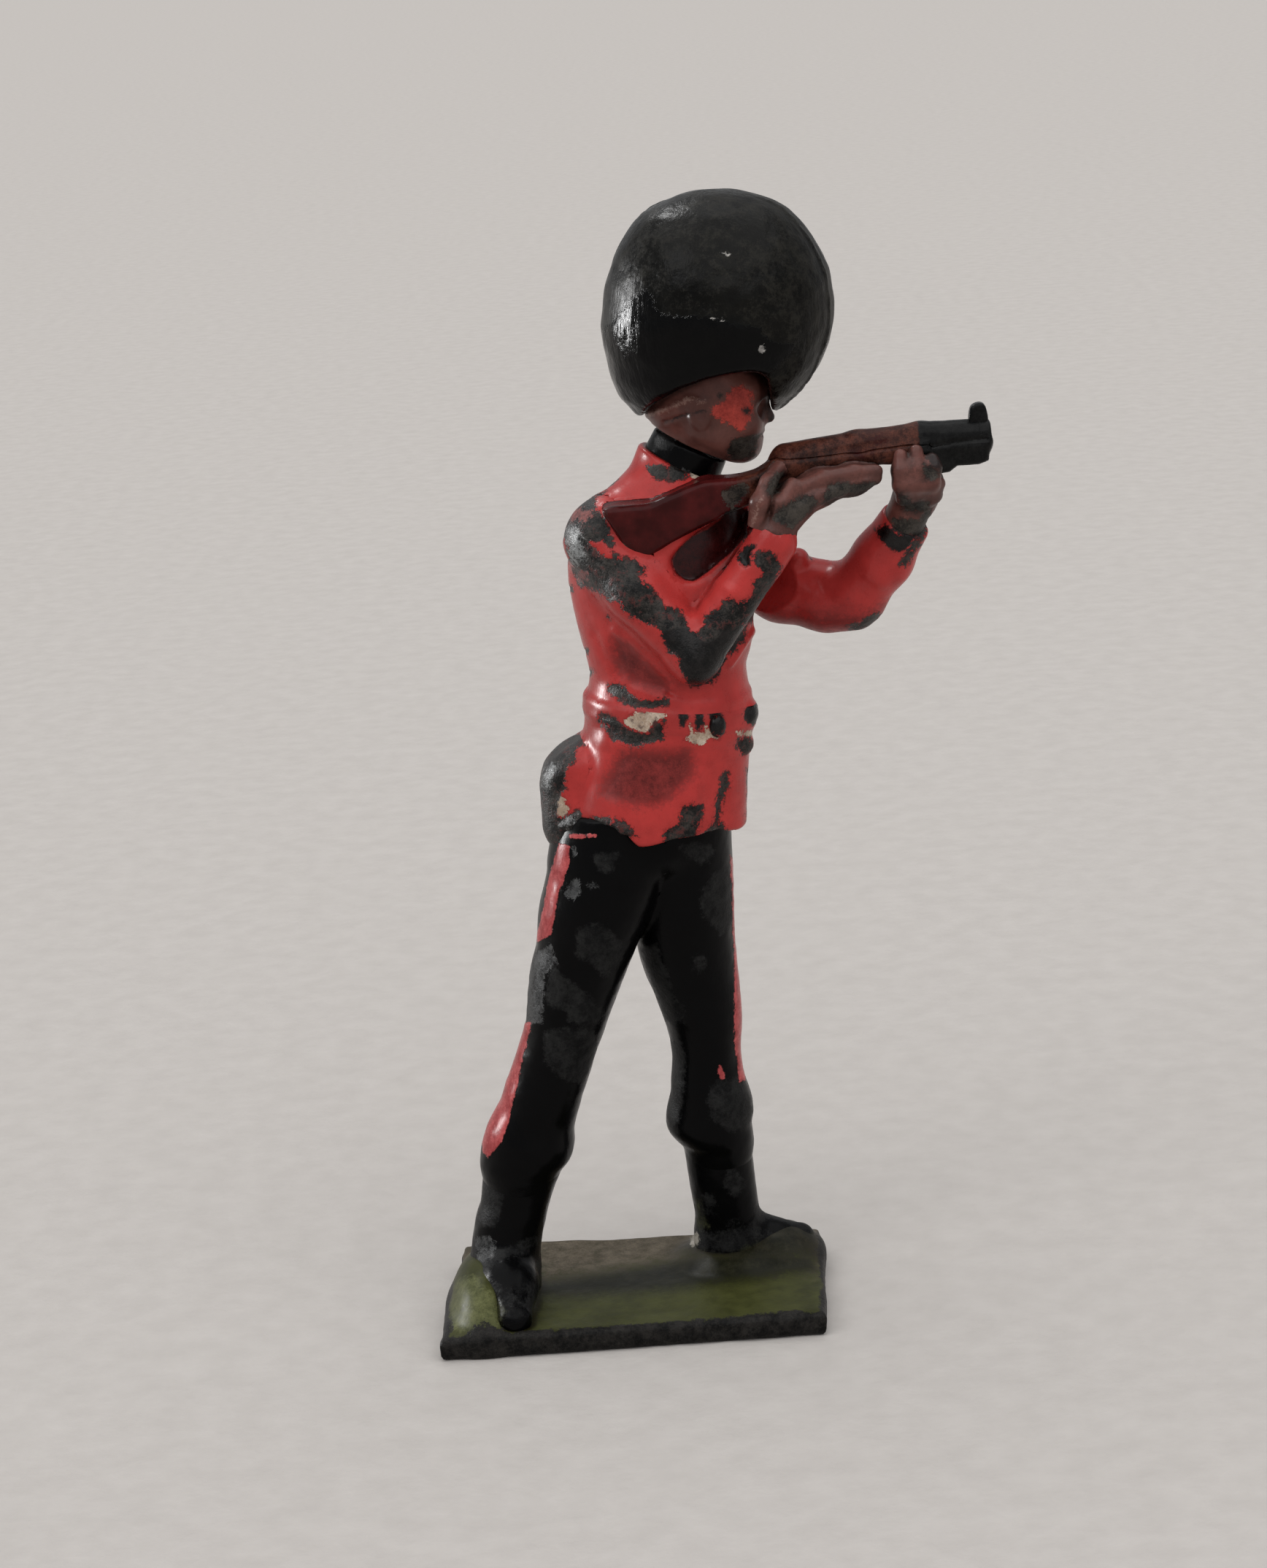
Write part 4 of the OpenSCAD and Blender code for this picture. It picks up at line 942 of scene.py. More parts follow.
def paint_cap(S):
    z = S["P"][:, 2]
    back = np.minimum((54.6 - z) * 0.7 + 0.7 * fbm(S["P"] * V3(1, 1, 0.3), 3.5, 23), (0.12 - S["face"]) * 2)
    # pale: the white fleck and the scratch sc1 are paint marks; the bright line along the gloss edge is a painted
    # highlight.
    return {"gloss": most(patches(S, ["gloss"]), back), "pale": most(patches(S, ["fleck"]), stroke(S, PATCH["sc1"], 0.04), stroke(S, PATCH["sc2"], 0.035)),
            "chip": unseen(S, 25, 3.5, 0.62), "haze": 0.9 * fbm(S["P"], 3.0, 24) - 0.25 + 0.55 * step(9.0, 12.5, S["P"][:, 0]) + 0.35 * step(6.0, 3.5, S["P"][:, 0]), "band": np.minimum(np.minimum(hat_part(S) - 0.05, S["P"][:, 0] - 9.0), 1.2 - hat_part(S))}


def shape_cap(S):
    front = step(9.0, 11.0, S["P"][:, 0]) + step(6.0, 4.0, S["P"][:, 0])
    d = hat_part(S) + 0.12 * noise(S["P"], 2.0, 27)
    return 0.09 * np.exp(-(d / 0.14) ** 2) * front - 0.06 * step(0.1, 0.5, d) * step(1.4, 0.6, d) * front + 0.07 * fbm(S["P"], 2.0, 28) + 0.022 * noise(S["P"], 0.75, 29)


def paint_head(S):
    # soft: painted shade in the recesses of the face, by the cavity measure, with random mottling.
    return {"soft": 0.4 * fbm(S["P"], 1.6, 31) + 0.6 * S["cav"] - 0.46, "red": patches(S, ["redface"]), "dark": most(stroke(S, PATCH["fd1"], 0.17), stroke(S, PATCH["fd2"], 0.22), stroke(S, PATCH["strap2"], 0.07)),
            "chip": most(patches(S, ["chin"]) - 0.3, unseen(S, 29, 1.8, 0.45)), "pale": stroke(S, PATCH["strap"], 0.2) - 0.12}


def shape_head(S):
    return crease(S, PATCH["strap"], 0.22, 0.09) + crease(S, PATCH["strap2"], 0.12, -0.06)


def paint_hand(S):
    # soft: dirt and painted shade in the recesses of the hand, by the cavity measure, and dark around the chips.
    return {"soft": most(0.45 * fbm(S["P"], 1.3, 34) + 0.75 * S["cav"] - 0.22, patches(S, ["fhandchip", "fhandchip2", "fing_dark", "lhchip1", "lhchip2"], grow=0.2)),
            "chip": most(patches(S, ["fhandchip", "fhandchip2", "fing_dark", "handchip", "lhchip1", "lhchip2", "cuffgrey"]), unseen(S, 33, 1.4, 0.3)),
            # pale: painted highlights along the finger edge (fing_hi) and a glint beside it.
            "pale": most(stroke(S, PATCH["fing_hi"], 0.07) - 0.04, stroke(S, [(1033, 700)], 0.08)), "dark": patches(S, ["muz"]), "red": none(S)}


def paint_rifle(S):
    x = S["P"][:, 0]
    # dark: black paint at the barrel end; on the hollow by the butt (tear) it is painted shade.
    return {"dark": np.minimum(most(x - 17.75, patches(S, ["muz", "tear"])), 1.0), "chip": most(patches(S, ["handchip"]), 0.8 * (S["edge"] - 0.66) + 0.22 * noise(S["P"], 0.8, 36), unseen(S, 37, 2.0, 0.42)) - 1.2 * step(17.5, 18.0, x),
            "soft": np.minimum(x - 8.5, 0.9) * 0.5 + 0.5 * fbm(S["P"], 1.6, 38), "pale": none(S)}


def shape_rifle(S):
    x = S["P"][:, 0]
    m = crease(S, [(1268, 612), (1310, 606), (1352, 601)], 0.12, -0.1) + crease(S, [(1090, 622), (1150, 610), (1210, 600)], 0.2, 0.05)
    return m + 0.04 * fbm(S["P"], 1.1, 39) * step(9.0, 11.0, x) + crease(S, [(905, 748), (945, 727), (985, 708)], 0.14, 0.06)


def paint_leg(S):
    return {"worn": most(patches(S, ["w1", "w2", "w3", "w4", "w5", "w6", "w7", "w8", "w9", "w10"]), unseen(S, 41, 3.2, 0.1)),
            "grey": most(patches(S, ["g1", "g2", "g3", "bareR"]), unseen(S, 43, 1.8, 0.52)),
            "stripe": np.minimum(patches(S, ["stripeR1", "stripeR2", "stripeL1", "stripeL2", "pinkL", "hemred"]), (S["face"] + 0.07) * 2.2 + 0.14 * noise(S["P"], 0.9, 44)), "green": none(S), "pale": none(S)}


def paint_boot(S):
    z = S["P"][:, 2]
    return {"worn": most(patches(S, ["w11", "w12", "w13"]), unseen(S, 47, 2.2, 0.12), np.minimum(4.6 - z, 0.02) + 0.5 * noise(S["P"], 1.1, 48)), "grey": most(patches(S, ["gb1"]), unseen(S, 49, 1.5, 0.5)),
            "stripe": none(S), "pale": patches(S, ["wchipL"]) - 0.12,
            "green": most(patches(S, ["gmound", "gl"]) - 0.15, np.where(S["P"][:, 0] > 0, 0.6 * (1.9 - z) + 0.25 * noise(S["P"], 1.4, 51), -3.0), np.minimum(1.9 - z, -S["face"]))}


SLAB = [(-11.0, -6.7), (10.5, -5.85), (10.55, 6.2), (-10.5, 6.3)]


def paint_base(S):
    P = S["P"]
    x, y, z = P[:, 0], P[:, 1], P[:, 2]
    inward = -polygon2(x, y, SLAB)
    rim = 0.22 - 0.8 * inward + 0.35 * fbm(P, 1.5, 55) - 0.25 * (S["N"][:, 2] - 0.5) + 0.25 * step(-3.0, -5.5, y)
    side = 0.8 - z + 0.2 * fbm(P, 1.0, 57)
    # Browner towards the rear of the slab (back term and brown patch): painted reflection.
    back = 0.16 * (y + 1.2) + 0.3 * fbm(P, 3.0, 56)
    return {"dark": np.where(inward < 0.9, most(rim, np.minimum(side, 0.6 - S["N"][:, 2])), rim), "brown": most(patches(S, ["brown"]) * 0.6, back - 0.4),
            # band: painted shadow and painted reflection of the figure across the slab top, and painted shade beside
            # the left boot.
            "band": most(patches(S, ["darkband"]), 1.5 - np.hypot((x - 6.8) / 1.5, y - 3.0) * 0.5 + 0.3 * fbm(P, 1.6, 54)),
            "light": patches(S, ["gyel"]), "pale": patches(S, ["wchipL"]) - 0.12}


def paint_collar(S):
    # The colgrey patch at the collar's left end is worn paint with a painted highlight.
    return {"worn": most(patches(S, ["colgrey"]), unseen(S, 58, 1.6, 0.25)), "grey": most(patches(S, ["colchip"]) - 0.1, unseen(S, 59, 1.2, 0.5)), "stripe": none(S),
            "green": none(S), "pale": none(S)}


SHAPER = {"tunic_body": shape_tunic, "right_arm": shape_tunic, "tunic_skirt": shape_skirt, "rear_pouch": shape_skirt, "waist_belt": shape_skirt, "left_arm": shape_left_arm,
          "bearskin_cap": shape_cap, "head": shape_head, "rifle_stock": shape_rifle, "rifle_barrel": shape_rifle, "nose_cap": shape_rifle}
PAINTER = {"tunic_body": paint_tunic, "right_arm": paint_tunic, "tunic_skirt": paint_skirt, "rear_pouch": paint_pouch, "waist_belt": paint_belt, "belt_buckle": paint_buckle,
           "left_arm": paint_left_arm, "left_shoulder_stud": paint_stud, "bearskin_cap": paint_cap, "head": paint_head, "right_hand": paint_hand, "left_hand": paint_hand,
           "rifle_stock": paint_rifle, "rifle_barrel": paint_rifle, "nose_cap": paint_rifle, "front_sight": paint_rifle,
           "right_trouser_leg": paint_leg, "left_trouser_leg": paint_leg, "right_boot": paint_boot, "left_boot": paint_boot, "base_plate": paint_base, "collar": paint_collar}
SHAPE = {"tunic_body": tunic_form, "right_arm": upper, "right_hand": upper, "rifle_stock": upper, "tunic_skirt": skirt_form, "rear_pouch": skirt_form, "waist_belt": skirt_form,
         "right_trouser_leg": legs, "left_trouser_leg": legs}


def figure(P):
    out = np.full(len(P), 9.0)
    for f, lo, hi in FORMS:
        m = ((P > np.array(lo) - 1.0) & (P < np.array(hi) + 1.0)).all(1)
        if m.any():
            out[m] = np.minimum(out[m], f(P[m]))
    return out


FORMS = [(cap_form,) + PIECES["bearskin_cap"][4:], (head_form,) + PIECES["head"][4:], (collar_form,) + PIECES["collar"][4:],
         (upper, (-1.7, -6.6, 34.6), (18.6, 4.6, 49.8)), (barrel_form,) + PIECES["rifle_barrel"][4:], (nose_form,) + PIECES["nose_cap"][4:],
         (l_sleeve_form,) + PIECES["left_arm"][4:], (l_hand_form,) + PIECES["left_hand"][4:],
         (skirt_form, (-3.8, -4.7, 27.5), (8.4, 4.7, 35.4)), (legs, (-8.8, -4.2, 7.4), (7.5, 5.2, 30.0)),
         (r_boot_form,) + PIECES["right_boot"][4:], (l_boot_form,) + PIECES["left_boot"][4:], (base_form,) + PIECES["base_plate"][4:]]


# ------------------------------------------------------------------ materials
class Nodes:
    """Short names for building a node tree."""

    def __init__(self, name):
        self.mat = bpy.data.materials.new(name)
        self.mat.use_nodes = True
        self.t = self.mat.node_tree
        self.t.nodes.clear()
        self.out = self.t.nodes.new("ShaderNodeOutputMaterial")
        self.bsdf = self.t.nodes.new("ShaderNodeBsdfPrincipled")
        self.t.links.new(self.bsdf.outputs[0], self.out.inputs[0])
        tc = self.t.nodes.new("ShaderNodeTexCoord")
        self.mm = self.t.nodes.new("ShaderNodeVectorMath")
        self.mm.operation = "SCALE"
        self.mm.inputs["Scale"].default_value = 1000.0
        self.t.links.new(tc.outputs["Object"], self.mm.inputs[0])

    def put(self, sock, v):
        if hasattr(v, "is_output"):
            self.t.links.new(v, sock)
        elif isinstance(v, (tuple, list)) and len(v) == 3 and sock.type == "RGBA":
            sock.default_value = (*v, 1.0)
        else:
            sock.default_value = v

    def attr(self, name):
        n = self.t.nodes.new("ShaderNodeAttribute")
        n.attribute_name = name
        return n.outputs["Fac"]

    def noise(self, size, detail=3.0, rough=0.55, stretch=None, seed=0.0):
        """Noise in -1..1 with features about `size` mm."""
        n = self.t.nodes.new("ShaderNodeTexNoise")
        n.noise_dimensions = "3D"
        v = self.mm.outputs[0]
        if stretch or seed:
            mp = self.t.nodes.new("ShaderNodeMapping")
            mp.inputs["Scale"].default_value = stretch or (1, 1, 1)
            mp.inputs["Location"].default_value = (seed * 3.7, seed * 5.1, seed * 1.9)
            self.t.links.new(v, mp.inputs["Vector"])
            v = mp.outputs[0]
        self.t.links.new(v, n.inputs["Vector"])
        n.inputs["Scale"].default_value = 1.0 / size
        n.inputs["Detail"].default_value = detail
        n.inputs["Roughness"].default_value = rough
        return self.math("MULTIPLY_ADD", n.outputs["Fac"], 2.0, -1.0)

    def math(self, op, a, b=0.0, c=0.0, clamp=False):
        n = self.t.nodes.new("ShaderNodeMath")
        n.operation = op
        n.use_clamp = clamp
        self.put(n.inputs[0], a)
        self.put(n.inputs[1], b)
        if op == "MULTIPLY_ADD":
            self.put(n.inputs[2], c)
        return n.outputs[0]

    def ramp(self, v, lo, hi, a=0.0, b=1.0):
        n = self.t.nodes.new("ShaderNodeMapRange")
        n.interpolation_type = "SMOOTHSTEP"
        self.put(n.inputs["Value"], v)
        for k, x in (("From Min", lo), ("From Max", hi), ("To Min", a), ("To Max", b)):
            n.inputs[k].default_value = x
        return n.outputs["Result"]

    def mix(self, f, a, b):
        n = self.t.nodes.new("ShaderNodeMix")
        n.data_type = "RGBA"
        self.put(n.inputs[0], f)
        self.put(n.inputs[6], a)
        self.put(n.inputs[7], b)
        return n.outputs[2]

    def mixf(self, f, a, b):
        n = self.t.nodes.new("ShaderNodeMix")
        n.data_type = "FLOAT"
        self.put(n.inputs[0], f)
        self.put(n.inputs[2], a)
        self.put(n.inputs[3], b)
        return n.outputs[0]

    def tint(self, f, a, k):
        """Colour a made k times as bright where f is 1."""
        n = self.t.nodes.new("ShaderNodeMix")
        n.data_type = "RGBA"
        n.blend_type = "MULTIPLY"
        self.put(n.inputs[0], f)
        self.put(n.inputs[6], a)
        self.put(n.inputs[7], k)
        return n.outputs[2]


class Layer:
    """A coat or a loss of paint, or a painted shade, shadow or highlight: attribute, two colours, roughness, edge noise
    (0.8, 0.25, 0.08 mm), softness, height step, dark fringe, strength.
    """

    def __init__(self, attr, c1, c2, rough, mid=0.12, fine=0.13, grit=0.05, soft=0.025, h=0.0, ring=0.0, specks=0.0, op=1.0, stain=None, hard=0.8):
        self.stain, self.hard = stain, hard
        self.attr, self.c1, self.c2, self.rough = attr, c1, c2, rough
        self.mid, self.fine, self.grit, self.soft, self.h, self.ring, self.specks, self.op = mid, fine, grit, soft, h, ring, specks, op


def enamel(name, base, rough, layers, vary=0.14, grime=(0.35, 0.3, 0.28), edge=None, brush=0.35, spec=0.5, fringe=(0.35, 0.25, 0.25)):
    """Old brushed enamel on cast metal, darkened in recesses by dirt and painted shade."""
    g = Nodes(name)
    big, mid, fine, grit = g.noise(2.6, 3), g.noise(0.85, 4, seed=1.0), g.noise(0.24, 4, 0.65, seed=2.0), g.noise(0.08, 2, 0.6, seed=3.0)
    strokes = g.noise(0.35, 3, 0.6, stretch=(1.0, 1.0, 0.22), seed=4.0)
    col = g.mix(g.ramp(g.math("ADD", big, g.math("MULTIPLY", mid, 0.7)), -0.55, 0.55), tuple(c * (1 - vary) for c in base), tuple(min(c * (1 + vary), 1) for c in base))
    col = g.tint(g.ramp(g.math("MULTIPLY_ADD", grit, 0.6, fine), 0.15, 0.9), col, (0.8, 0.78, 0.78))
    r = g.math("MULTIPLY_ADD", mid, 0.08, rough)
    r = g.math("MULTIPLY_ADD", fine, 0.06, r)
    height = g.math("MULTIPLY_ADD", strokes, 0.3 * brush, g.math("MULTIPLY", mid, 0.3 * brush))
    height = g.math("MULTIPLY_ADD", fine, 0.12 * brush, height)
    # Dirt and painted shade: the colour is darkened in recesses, by the cavity measure cav.
    col = g.tint(g.ramp(g.math("MULTIPLY_ADD", fine, 0.12, g.attr("cav")), 0.22, 0.85), col, grime)
    if edge:
        e = g.ramp(g.math("MULTIPLY_ADD", mid, 0.22, g.math("MULTIPLY_ADD", fine, 0.14, g.attr("edge"))), edge[0], edge[0] + 0.06)
        col = g.mix(e, col, edge[1])
        r = g.mixf(e, r, 0.5)
        height = g.math("MULTIPLY_ADD", e, -0.4, height)
    stains = g.noise(0.6, 3, 0.6, seed=5.0)
    tone = g.math("MULTIPLY_ADD", grit, 0.55, g.math("MULTIPLY_ADD", fine, 0.75, mid))
    for l in layers:
        f = g.math("MULTIPLY_ADD", mid, l.mid, g.math("MULTIPLY_ADD", fine, l.fine, g.attr(l.attr)))
        f = g.math("MULTIPLY_ADD", grit, l.grit, f)
        m = g.ramp(f, -l.soft, l.soft, 0.0, l.op)
        if l.ring:
            col = g.tint(g.ramp(f, -0.16, 0.0, 0.0, l.ring), col, fringe)
        if l.specks:
            left = g.ramp(g.math("MULTIPLY_ADD", f, -0.9, g.math("MULTIPLY_ADD", grit, 0.55, fine)), 0.34, 0.44, 1.0, 1.0 - l.specks)
            m = g.math("MULTIPLY", m, left)
        c = g.mix(g.ramp(tone, -l.hard + 0.05, l.hard + 0.05), l.c1, l.c2)
        if l.stain:
            c = g.mix(g.ramp(g.math("MULTIPLY_ADD", fine, 0.8, g.math("MULTIPLY_ADD", grit, 0.4, stains)), 0.05, 0.55, 0.0, 0.85), c, l.stain)
        col = g.mix(m, col, c)
        r = g.mixf(m, r, g.math("MULTIPLY_ADD", fine, 0.14, l.rough))
        height = g.math("MULTIPLY_ADD", m, l.h, height)
        if l.h < 0:
            height = g.math("MULTIPLY_ADD", g.math("MULTIPLY", m, g.math("MULTIPLY_ADD", grit, 0.5, fine)), 0.4, height)
    g.put(g.bsdf.inputs["Base Color"], col)
    g.put(g.bsdf.inputs["Roughness"], g.math("MAXIMUM", r, 0.1))
    g.bsdf.inputs["Specular IOR Level"].default_value = spec
    b = g.t.nodes.new("ShaderNodeBump")
    b.inputs["Strength"].default_value = 0.6
    b.inputs["Distance"].default_value = 0.00009
    g.put(b.inputs["Height"], height)
    g.put(g.bsdf.inputs["Normal"], b.outputs[0])
    return g.mat


RED = (0.4, 0.033, 0.03)
CHIP, CHIP2 = (0.0012, 0.0012, 0.0012), (0.041, 0.036, 0.032)
PALE, PALE2 = (0.33, 0.24, 0.17), (0.6, 0.5, 0.4)
MAROON, MAROON2 = (0.009, 0.001, 0.001), (0.042, 0.004, 0.004)
# Greys of bare metal, also used for painted highlights on it.
BARE, BARE2 = (0.045, 0.046, 0.046), (0.3, 0.31, 0.31)


def red_layers():
    # soft: dark maroon; painted shade in the tunic's fold valley and under the left sleeve, and the skirt's maroon
    # patch.
    return [Layer("soft", (0.03, 0.005, 0.005), (0.19, 0.024, 0.022), 0.42, mid=0.55, fine=0.6, grit=0.3, soft=0.45, op=0.85, hard=0.65),
            # dark: maroon paint of the hollow by the rifle butt, made darker as painted shade.
            Layer("dark", MAROON, MAROON2, 0.3, mid=0.06, fine=0.08, soft=0.06),
            Layer("pale", PALE, PALE2, 0.45, mid=0.2, fine=0.3, grit=0.12, soft=0.03, h=-0.15, ring=0.5, specks=0.6, hard=0.5, stain=(0.1, 0.06, 0.045)),
            Layer("chip", CHIP, CHIP2, 0.4, mid=0.36, fine=0.42, grit=0.2, soft=0.03, h=-0.8, ring=0.6, specks=0.9, hard=0.45, stain=(0.085, 0.018, 0.016)),
            Layer("mott", (0.05, 0.015, 0.014), (0.3, 0.1, 0.09), 0.5, mid=0.4, fine=0.6, grit=0.35, soft=0.06, h=0.2),
            # Bare metal, and a painted highlight where the stroke stands for a shine.
            Layer("bare", BARE, BARE2, 0.3, mid=0.4, fine=0.7, grit=0.4, soft=0.16),
            Layer("deep", (0.0012, 0.0012, 0.0012), (0.014, 0.012, 0.0115), 0.26, mid=0.2, fine=0.3, grit=0.15, soft=0.1, hard=0.6)]


def black_layers():
    # Worn dull patches on the black; on the collar this also stands for a painted highlight.
    return [Layer("worn", (0.004, 0.004, 0.0043), (0.02, 0.02, 0.0195), 0.5, mid=0.25, fine=0.3, grit=0.15, soft=0.16, h=-0.1, op=0.85, hard=0.6),
            Layer("green", (0.012, 0.013, 0.005), (0.06, 0.062, 0.026), 0.42, mid=0.35, fine=0.3, grit=0.15, soft=0.3, op=0.9),
            Layer("grey", (0.006, 0.006, 0.0066), (0.085, 0.087, 0.087), 0.38, mid=0.3, fine=0.4, grit=0.2, soft=0.1, h=-0.4, op=0.9, hard=0.6),
            Layer("stripe", (0.28, 0.04, 0.042), (0.5, 0.1, 0.1), 0.24, mid=0.1, fine=0.12, grit=0.05, soft=0.03, h=0.6, ring=0.4, hard=0.6),
            Layer("pale", (0.2, 0.18, 0.14), (0.5, 0.46, 0.4), 0.4, mid=0.2, fine=0.3, grit=0.1, soft=0.08, h=0.2)]


MATS = {
    "red_enamel": enamel("red_enamel_old", RED, 0.29, red_layers(), edge=(0.66, (0.03, 0.027, 0.026)), spec=0.2),
    "belt_enamel": enamel("belt_enamel_old", (0.37, 0.032, 0.029), 0.3, red_layers(), edge=(0.66, (0.03, 0.027, 0.026)), spec=0.2),
    "black_enamel": enamel("black_enamel_old", (0.0016, 0.0016, 0.0018), 0.24, black_layers(), edge=(0.74, (0.028, 0.027, 0.026)), grime=(0.6, 0.6, 0.6), spec=0.07),
    "cap": enamel("cap_enamel_old", (0.0038, 0.0036, 0.0029), 0.25,
                  [Layer("haze", (0.0016, 0.0015, 0.0012), (0.016, 0.0148, 0.0118), 0.36, mid=0.6, fine=0.9, grit=0.5, soft=0.3, op=0.95, hard=0.55),
                   Layer("band", (0.012, 0.012, 0.01), (0.05, 0.048, 0.043), 0.45, mid=0.3, fine=0.4, grit=0.2, soft=0.3, op=0.7),
                   Layer("gloss", (0.0008, 0.0008, 0.001), (0.002, 0.002, 0.002), 0.15, mid=0.3, fine=0.5, grit=0.2, soft=0.035, h=0.5),
                   Layer("chip", CHIP, CHIP2, 0.5, mid=0.2, fine=0.2, soft=0.05, h=-0.4),
                   Layer("pale", (0.12, 0.115, 0.11), (0.45, 0.43, 0.4), 0.35, mid=0.1, fine=0.2, grit=0.1, soft=0.04)], vary=0.6, edge=(0.84, (0.05, 0.05, 0.048)), brush=1.2, spec=0.1),
    "flesh_enamel": enamel("flesh_enamel_old", (0.125, 0.047, 0.038), 0.34,
                           # soft: dark flesh; painted shade in recesses of face and hands, with dirt on the hands.
                           [Layer("soft", (0.012, 0.006, 0.005), (0.085, 0.034, 0.027), 0.4, mid=0.4, fine=0.5, grit=0.25, soft=0.3, op=0.9, hard=0.6),
                            Layer("chip", (0.003, 0.003, 0.0027), (0.055, 0.046, 0.038), 0.45, mid=0.32, fine=0.42, grit=0.2, soft=0.08, h=-0.5, ring=0.4, specks=0.6, hard=0.55),
                            Layer("red", (0.27, 0.026, 0.019), (0.5, 0.06, 0.044), 0.32, mid=0.35, fine=0.45, grit=0.2, soft=0.12, h=0.3, hard=0.6),
                            Layer("dark", (0.012, 0.008, 0.008), (0.03, 0.016, 0.014), 0.33, mid=0.2, fine=0.35, grit=0.15, soft=0.12),
                            Layer("pale", (0.3, 0.15, 0.12), (0.5, 0.34, 0.28), 0.22, mid=0.2, fine=0.4, grit=0.2, soft=0.12, op=0.4)], vary=0.35, edge=(0.68, (0.05, 0.04, 0.036)), fringe=(0.4, 0.35, 0.33), spec=0.22),
    "brown_enamel": enamel("brown_enamel_old", (0.055, 0.006, 0.006), 0.24,
                           [Layer("soft", (0.011, 0.004, 0.0025), (0.1, 0.032, 0.02), 0.36, mid=0.6, fine=0.6, grit=0.3, soft=0.4, op=0.9, hard=0.55),
                            Layer("dark", (0.0012, 0.0012, 0.0013), (0.01, 0.01, 0.0096), 0.28, mid=0.1, fine=0.2, grit=0.1, soft=0.05, h=0.2),
                            Layer("chip", (0.003, 0.0027, 0.0024), (0.06, 0.047, 0.039), 0.46, mid=0.32, fine=0.4, grit=0.2, soft=0.06, h=-0.4, ring=0.4, hard=0.55),
                            Layer("pale", PALE, PALE2, 0.4)], vary=0.45, edge=(0.78, (0.055, 0.036, 0.029)), spec=0.11),
    "green_enamel": enamel("green_enamel_old", (0.041, 0.0435, 0.0125), 0.42,
                           # brown: painted reflection towards the rear of the slab.
                           [Layer("brown", (0.045, 0.037, 0.022), (0.15, 0.122, 0.088), 0.48, mid=0.45, fine=0.45, grit=0.2, soft=0.5),
                            # band: painted shadow of the figure on the slab.
                            Layer("band", (0.0025, 0.0025, 0.0016), (0.014, 0.0135, 0.0075), 0.38, mid=0.4, fine=0.4, grit=0.2, soft=0.5, op=0.92),
                            Layer("light", (0.045, 0.05, 0.017), (0.125, 0.13, 0.054), 0.42, mid=0.4, fine=0.4, grit=0.2, soft=0.3),
                            Layer("dark", (0.0025, 0.0025, 0.0025), (0.022, 0.02, 0.018), 0.42, mid=0.3, fine=0.36, grit=0.16, soft=0.07, h=-0.3, hard=0.6),
                            Layer("pale", (0.2, 0.18, 0.14), (0.5, 0.46, 0.4), 0.4, mid=0.2, fine=0.3, grit=0.1, soft=0.08, h=0.2)], vary=0.3, edge=(0.8, (0.02, 0.019, 0.016)), spec=0.09),
}
MATERIAL_OF = {"bearskin_cap": "cap", "left_shoulder_stud": "red_enamel", "waist_belt": "belt_enamel", "belt_buckle": "belt_enamel", "nose_cap": "brown_enamel", "front_sight": "brown_enamel"}


def metal(name):
    g = Nodes(name)
    big, fine = g.noise(1.4, 4), g.noise(0.15, 4, 0.65, seed=1.0)
    g.put(g.bsdf.inputs["Base Color"], g.mix(g.ramp(g.math("MULTIPLY_ADD", fine, 0.6, big), -0.6, 0.6), (0.05, 0.052, 0.052), (0.16, 0.165, 0.165)))
    g.put(g.bsdf.inputs["Roughness"], g.math("MULTIPLY_ADD", fine, 0.12, 0.42))
    g.bsdf.inputs["Metallic"].default_value = 0.7
    b = g.t.nodes.new("ShaderNodeBump")
    b.inputs["Strength"].default_value = 0.5
    b.inputs["Distance"].default_value = 0.00005
    g.put(b.inputs["Height"], fine)
    g.put(g.bsdf.inputs["Normal"], b.outputs[0])
    return g.mat


# ------------------------------------------------------------------ build
def make_mesh(name, verts, quads):
    me = bpy.data.meshes.new(name)
    me.vertices.add(len(verts))
    me.vertices.foreach_set("co", (verts * MM).astype(np.float32).ravel())
    me.loops.add(quads.size)
    me.loops.foreach_set("vertex_index", quads.astype(np.int32).ravel())
    me.polygons.add(len(quads))
    me.polygons.foreach_set("loop_start", np.arange(0, quads.size, 4, dtype=np.int32))
    me.polygons.foreach_set("use_smooth", np.ones(len(quads), dtype=bool))
    me.update(calc_edges=True)
    me.validate()
    me.set_sharp_from_angle(angle=math.radians(50))
    ob = bpy.data.objects.new(name, me)
    bpy.context.scene.collection.objects.link(ob)
    return ob


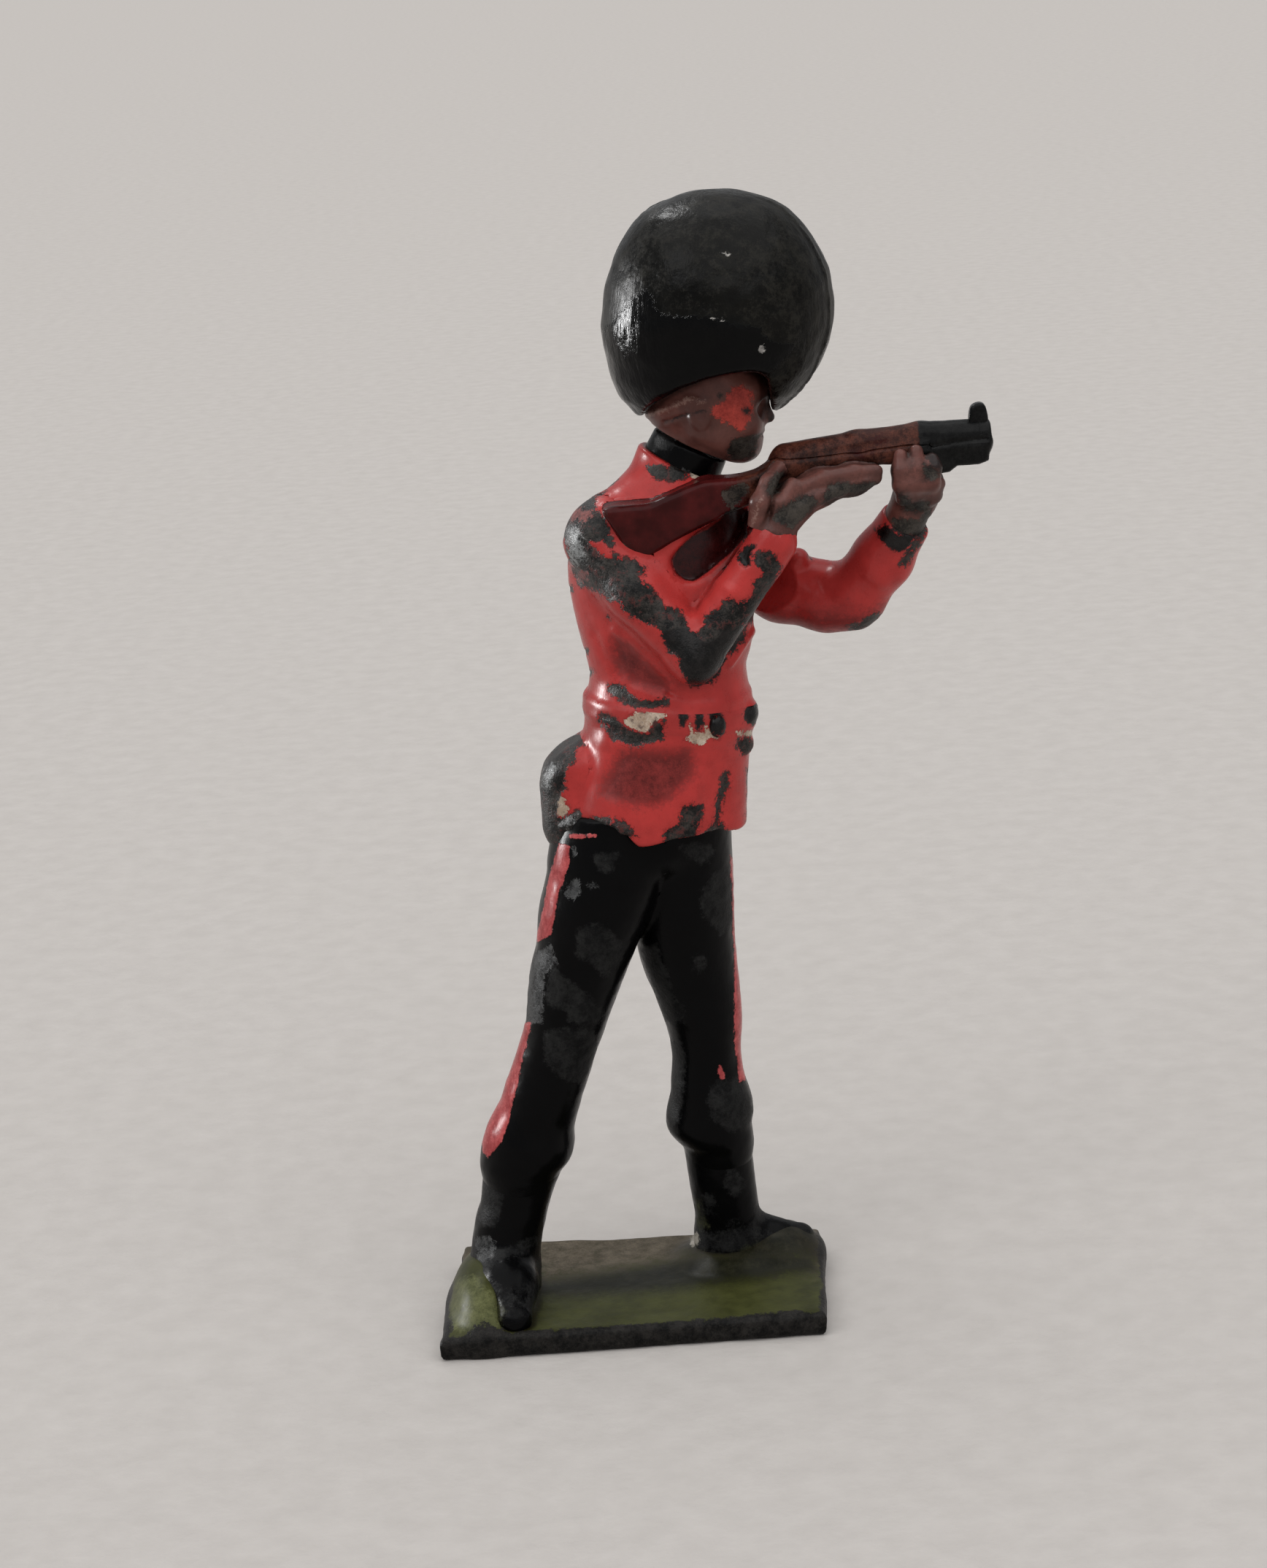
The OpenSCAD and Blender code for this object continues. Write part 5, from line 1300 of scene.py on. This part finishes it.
def build(name):
    body, slot, h, fields, lo, hi = PIECES[name]
    P, quads = mesh_field(fields, lo, hi, h * COARSE)
    shape = SHAPE.get(name, fields[0])
    N = gradient(shape, P)
    N /= np.maximum(length(N), 1e-6)[:, None]
    S = {"P": P, "N": N, "face": facing(P, N)}
    S["px"], S["py"] = project(P)
    S["cav"] = np.clip(1.0 - figure(P + 0.5 * N) / 0.5, 0, 1)
    S["edge"] = np.clip(1.0 + shape(P - 0.5 * N) / 0.5, 0, 1)
    fields_ = PAINTER[name](S)
    move = relief(P) + (SHAPER[name](S) if name in SHAPER else 0.0)
    for k, depth in (("chip", -0.045), ("grey", -0.03), ("stripe", 0.03), ("gloss", 0.02)):
        if k in fields_:
            move = move + depth * step(-0.05, 0.12, fields_[k] + 0.1 * noise(P, 0.5, 77))
    if name == "base_plate":
        move = move * step(0.02, 0.3, P[:, 2])
    skin = np.abs(shape(P)) < 0.02
    ob = make_mesh(name + "_cast", P + (move * skin)[:, None] * N, quads)
    for k, v in list(fields_.items()) + [("cav", S["cav"]), ("edge", S["edge"])]:
        a = ob.data.attributes.new(k, "FLOAT", "POINT")
        a.data.foreach_set("value", np.clip(v, -3, 3).astype(np.float32))
    ob.data.materials.append(MATS[MATERIAL_OF.get(name, slot)])
    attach(ob, body)
    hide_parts(name)
    return ob


BUILT = {name: build(name) for name in PIECES}
for n in ("waist_tube", "neck_pin", "right_shoulder_stud"):
    m = metal("casting_metal_" + n)
    for s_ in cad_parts[n].material_slots:
        s_.material = m


# ------------------------------------------------------------------ floor, light, camera
fm = bpy.data.meshes.new("floor")
fm.from_pydata([(x * 5.0, y * 5.0, -0.00002) for y in (-1, 1) for x in (-1, 1)], [], [(0, 1, 3, 2)])
floor = bpy.data.objects.new("floor", fm)
bpy.context.scene.collection.objects.link(floor)
g = Nodes("pale_floor")
cloth = g.noise(2.2, 4)
g.put(g.bsdf.inputs["Base Color"], g.mix(g.ramp(cloth, -0.7, 0.7), (0.465, 0.437, 0.412), (0.51, 0.481, 0.455)))
g.bsdf.inputs["Roughness"].default_value = 0.75
g.bsdf.inputs["Specular IOR Level"].default_value = 0.0
bp = g.t.nodes.new("ShaderNodeBump")
bp.inputs["Strength"].default_value = 0.25
bp.inputs["Distance"].default_value = 0.0003
g.put(bp.inputs["Height"], cloth)
g.put(g.bsdf.inputs["Normal"], bp.outputs[0])
fm.materials.append(g.mat)


def area(name, pos, target, size, power, col=(1, 1, 1)):
    l = bpy.data.lights.new(name, "AREA")
    l.shape = "RECTANGLE"
    l.size, l.size_y = size[0] * MM, size[1] * MM
    l.energy = power
    l.color = col
    o = bpy.data.objects.new(name, l)
    bpy.context.scene.collection.objects.link(o)
    p, t = V3(*pos), V3(*target)
    z = (p - t) / np.linalg.norm(p - t)
    x = np.cross((0, 0, 1), z); x /= np.linalg.norm(x)
    y = np.cross(z, x)
    o.matrix_world = Matrix(((x[0], y[0], z[0], p[0] * MM), (x[1], y[1], z[1], p[1] * MM), (x[2], y[2], z[2], p[2] * MM), (0, 0, 0, 1)))
    o.visible_camera = False
    return o


area("left_wall", (-165, 44, 64), (5, 0, 54), (22, 70), 0.42).visible_diffuse = False
area("left_high", (-66, 122, 205), (6, 0, 56), (36, 30), 0.08).visible_diffuse = False


def soft_sun(name, turn, tilt, wide, power):
    l = bpy.data.lights.new(name, "SUN")
    l.energy, l.angle = power, math.radians(wide)
    o = bpy.data.objects.new(name, l)
    o.rotation_euler = (math.radians(tilt), 0, math.radians(turn))
    bpy.context.scene.collection.objects.link(o)


soft_sun("ceiling", 0, 14, 100, 2.1)
soft_sun("window", -48, 52, 26, 0.28)
soft_sun("front", 35, 62, 70, 0.22)
w = bpy.data.worlds.new("studio")
bpy.context.scene.world = w
w.use_nodes = True
w.node_tree.nodes["Background"].inputs["Color"].default_value = (0.97, 0.98, 1.0, 1)
w.node_tree.nodes["Background"].inputs["Strength"].default_value = 0.45

cam = bpy.data.cameras.new("camera")
cam.sensor_fit = "VERTICAL"
cam.sensor_height = 36.0
cam.sensor_width = 36.0
cam.lens = CAM_F * 36.0 / PIC_H
cam.clip_start, cam.clip_end = 0.01, 10.0
co = bpy.data.objects.new("camera", cam)
bpy.context.scene.collection.objects.link(co)
R, U, B = CAM_R, CAM_U, -CAM_FW
co.matrix_world = Matrix(((R[0], U[0], B[0], CAM_POS[0] * MM), (R[1], U[1], B[1], CAM_POS[1] * MM), (R[2], U[2], B[2], CAM_POS[2] * MM), (0, 0, 0, 1)))
bpy.context.scene.camera = co
bpy.context.scene.view_settings.view_transform = "Standard"
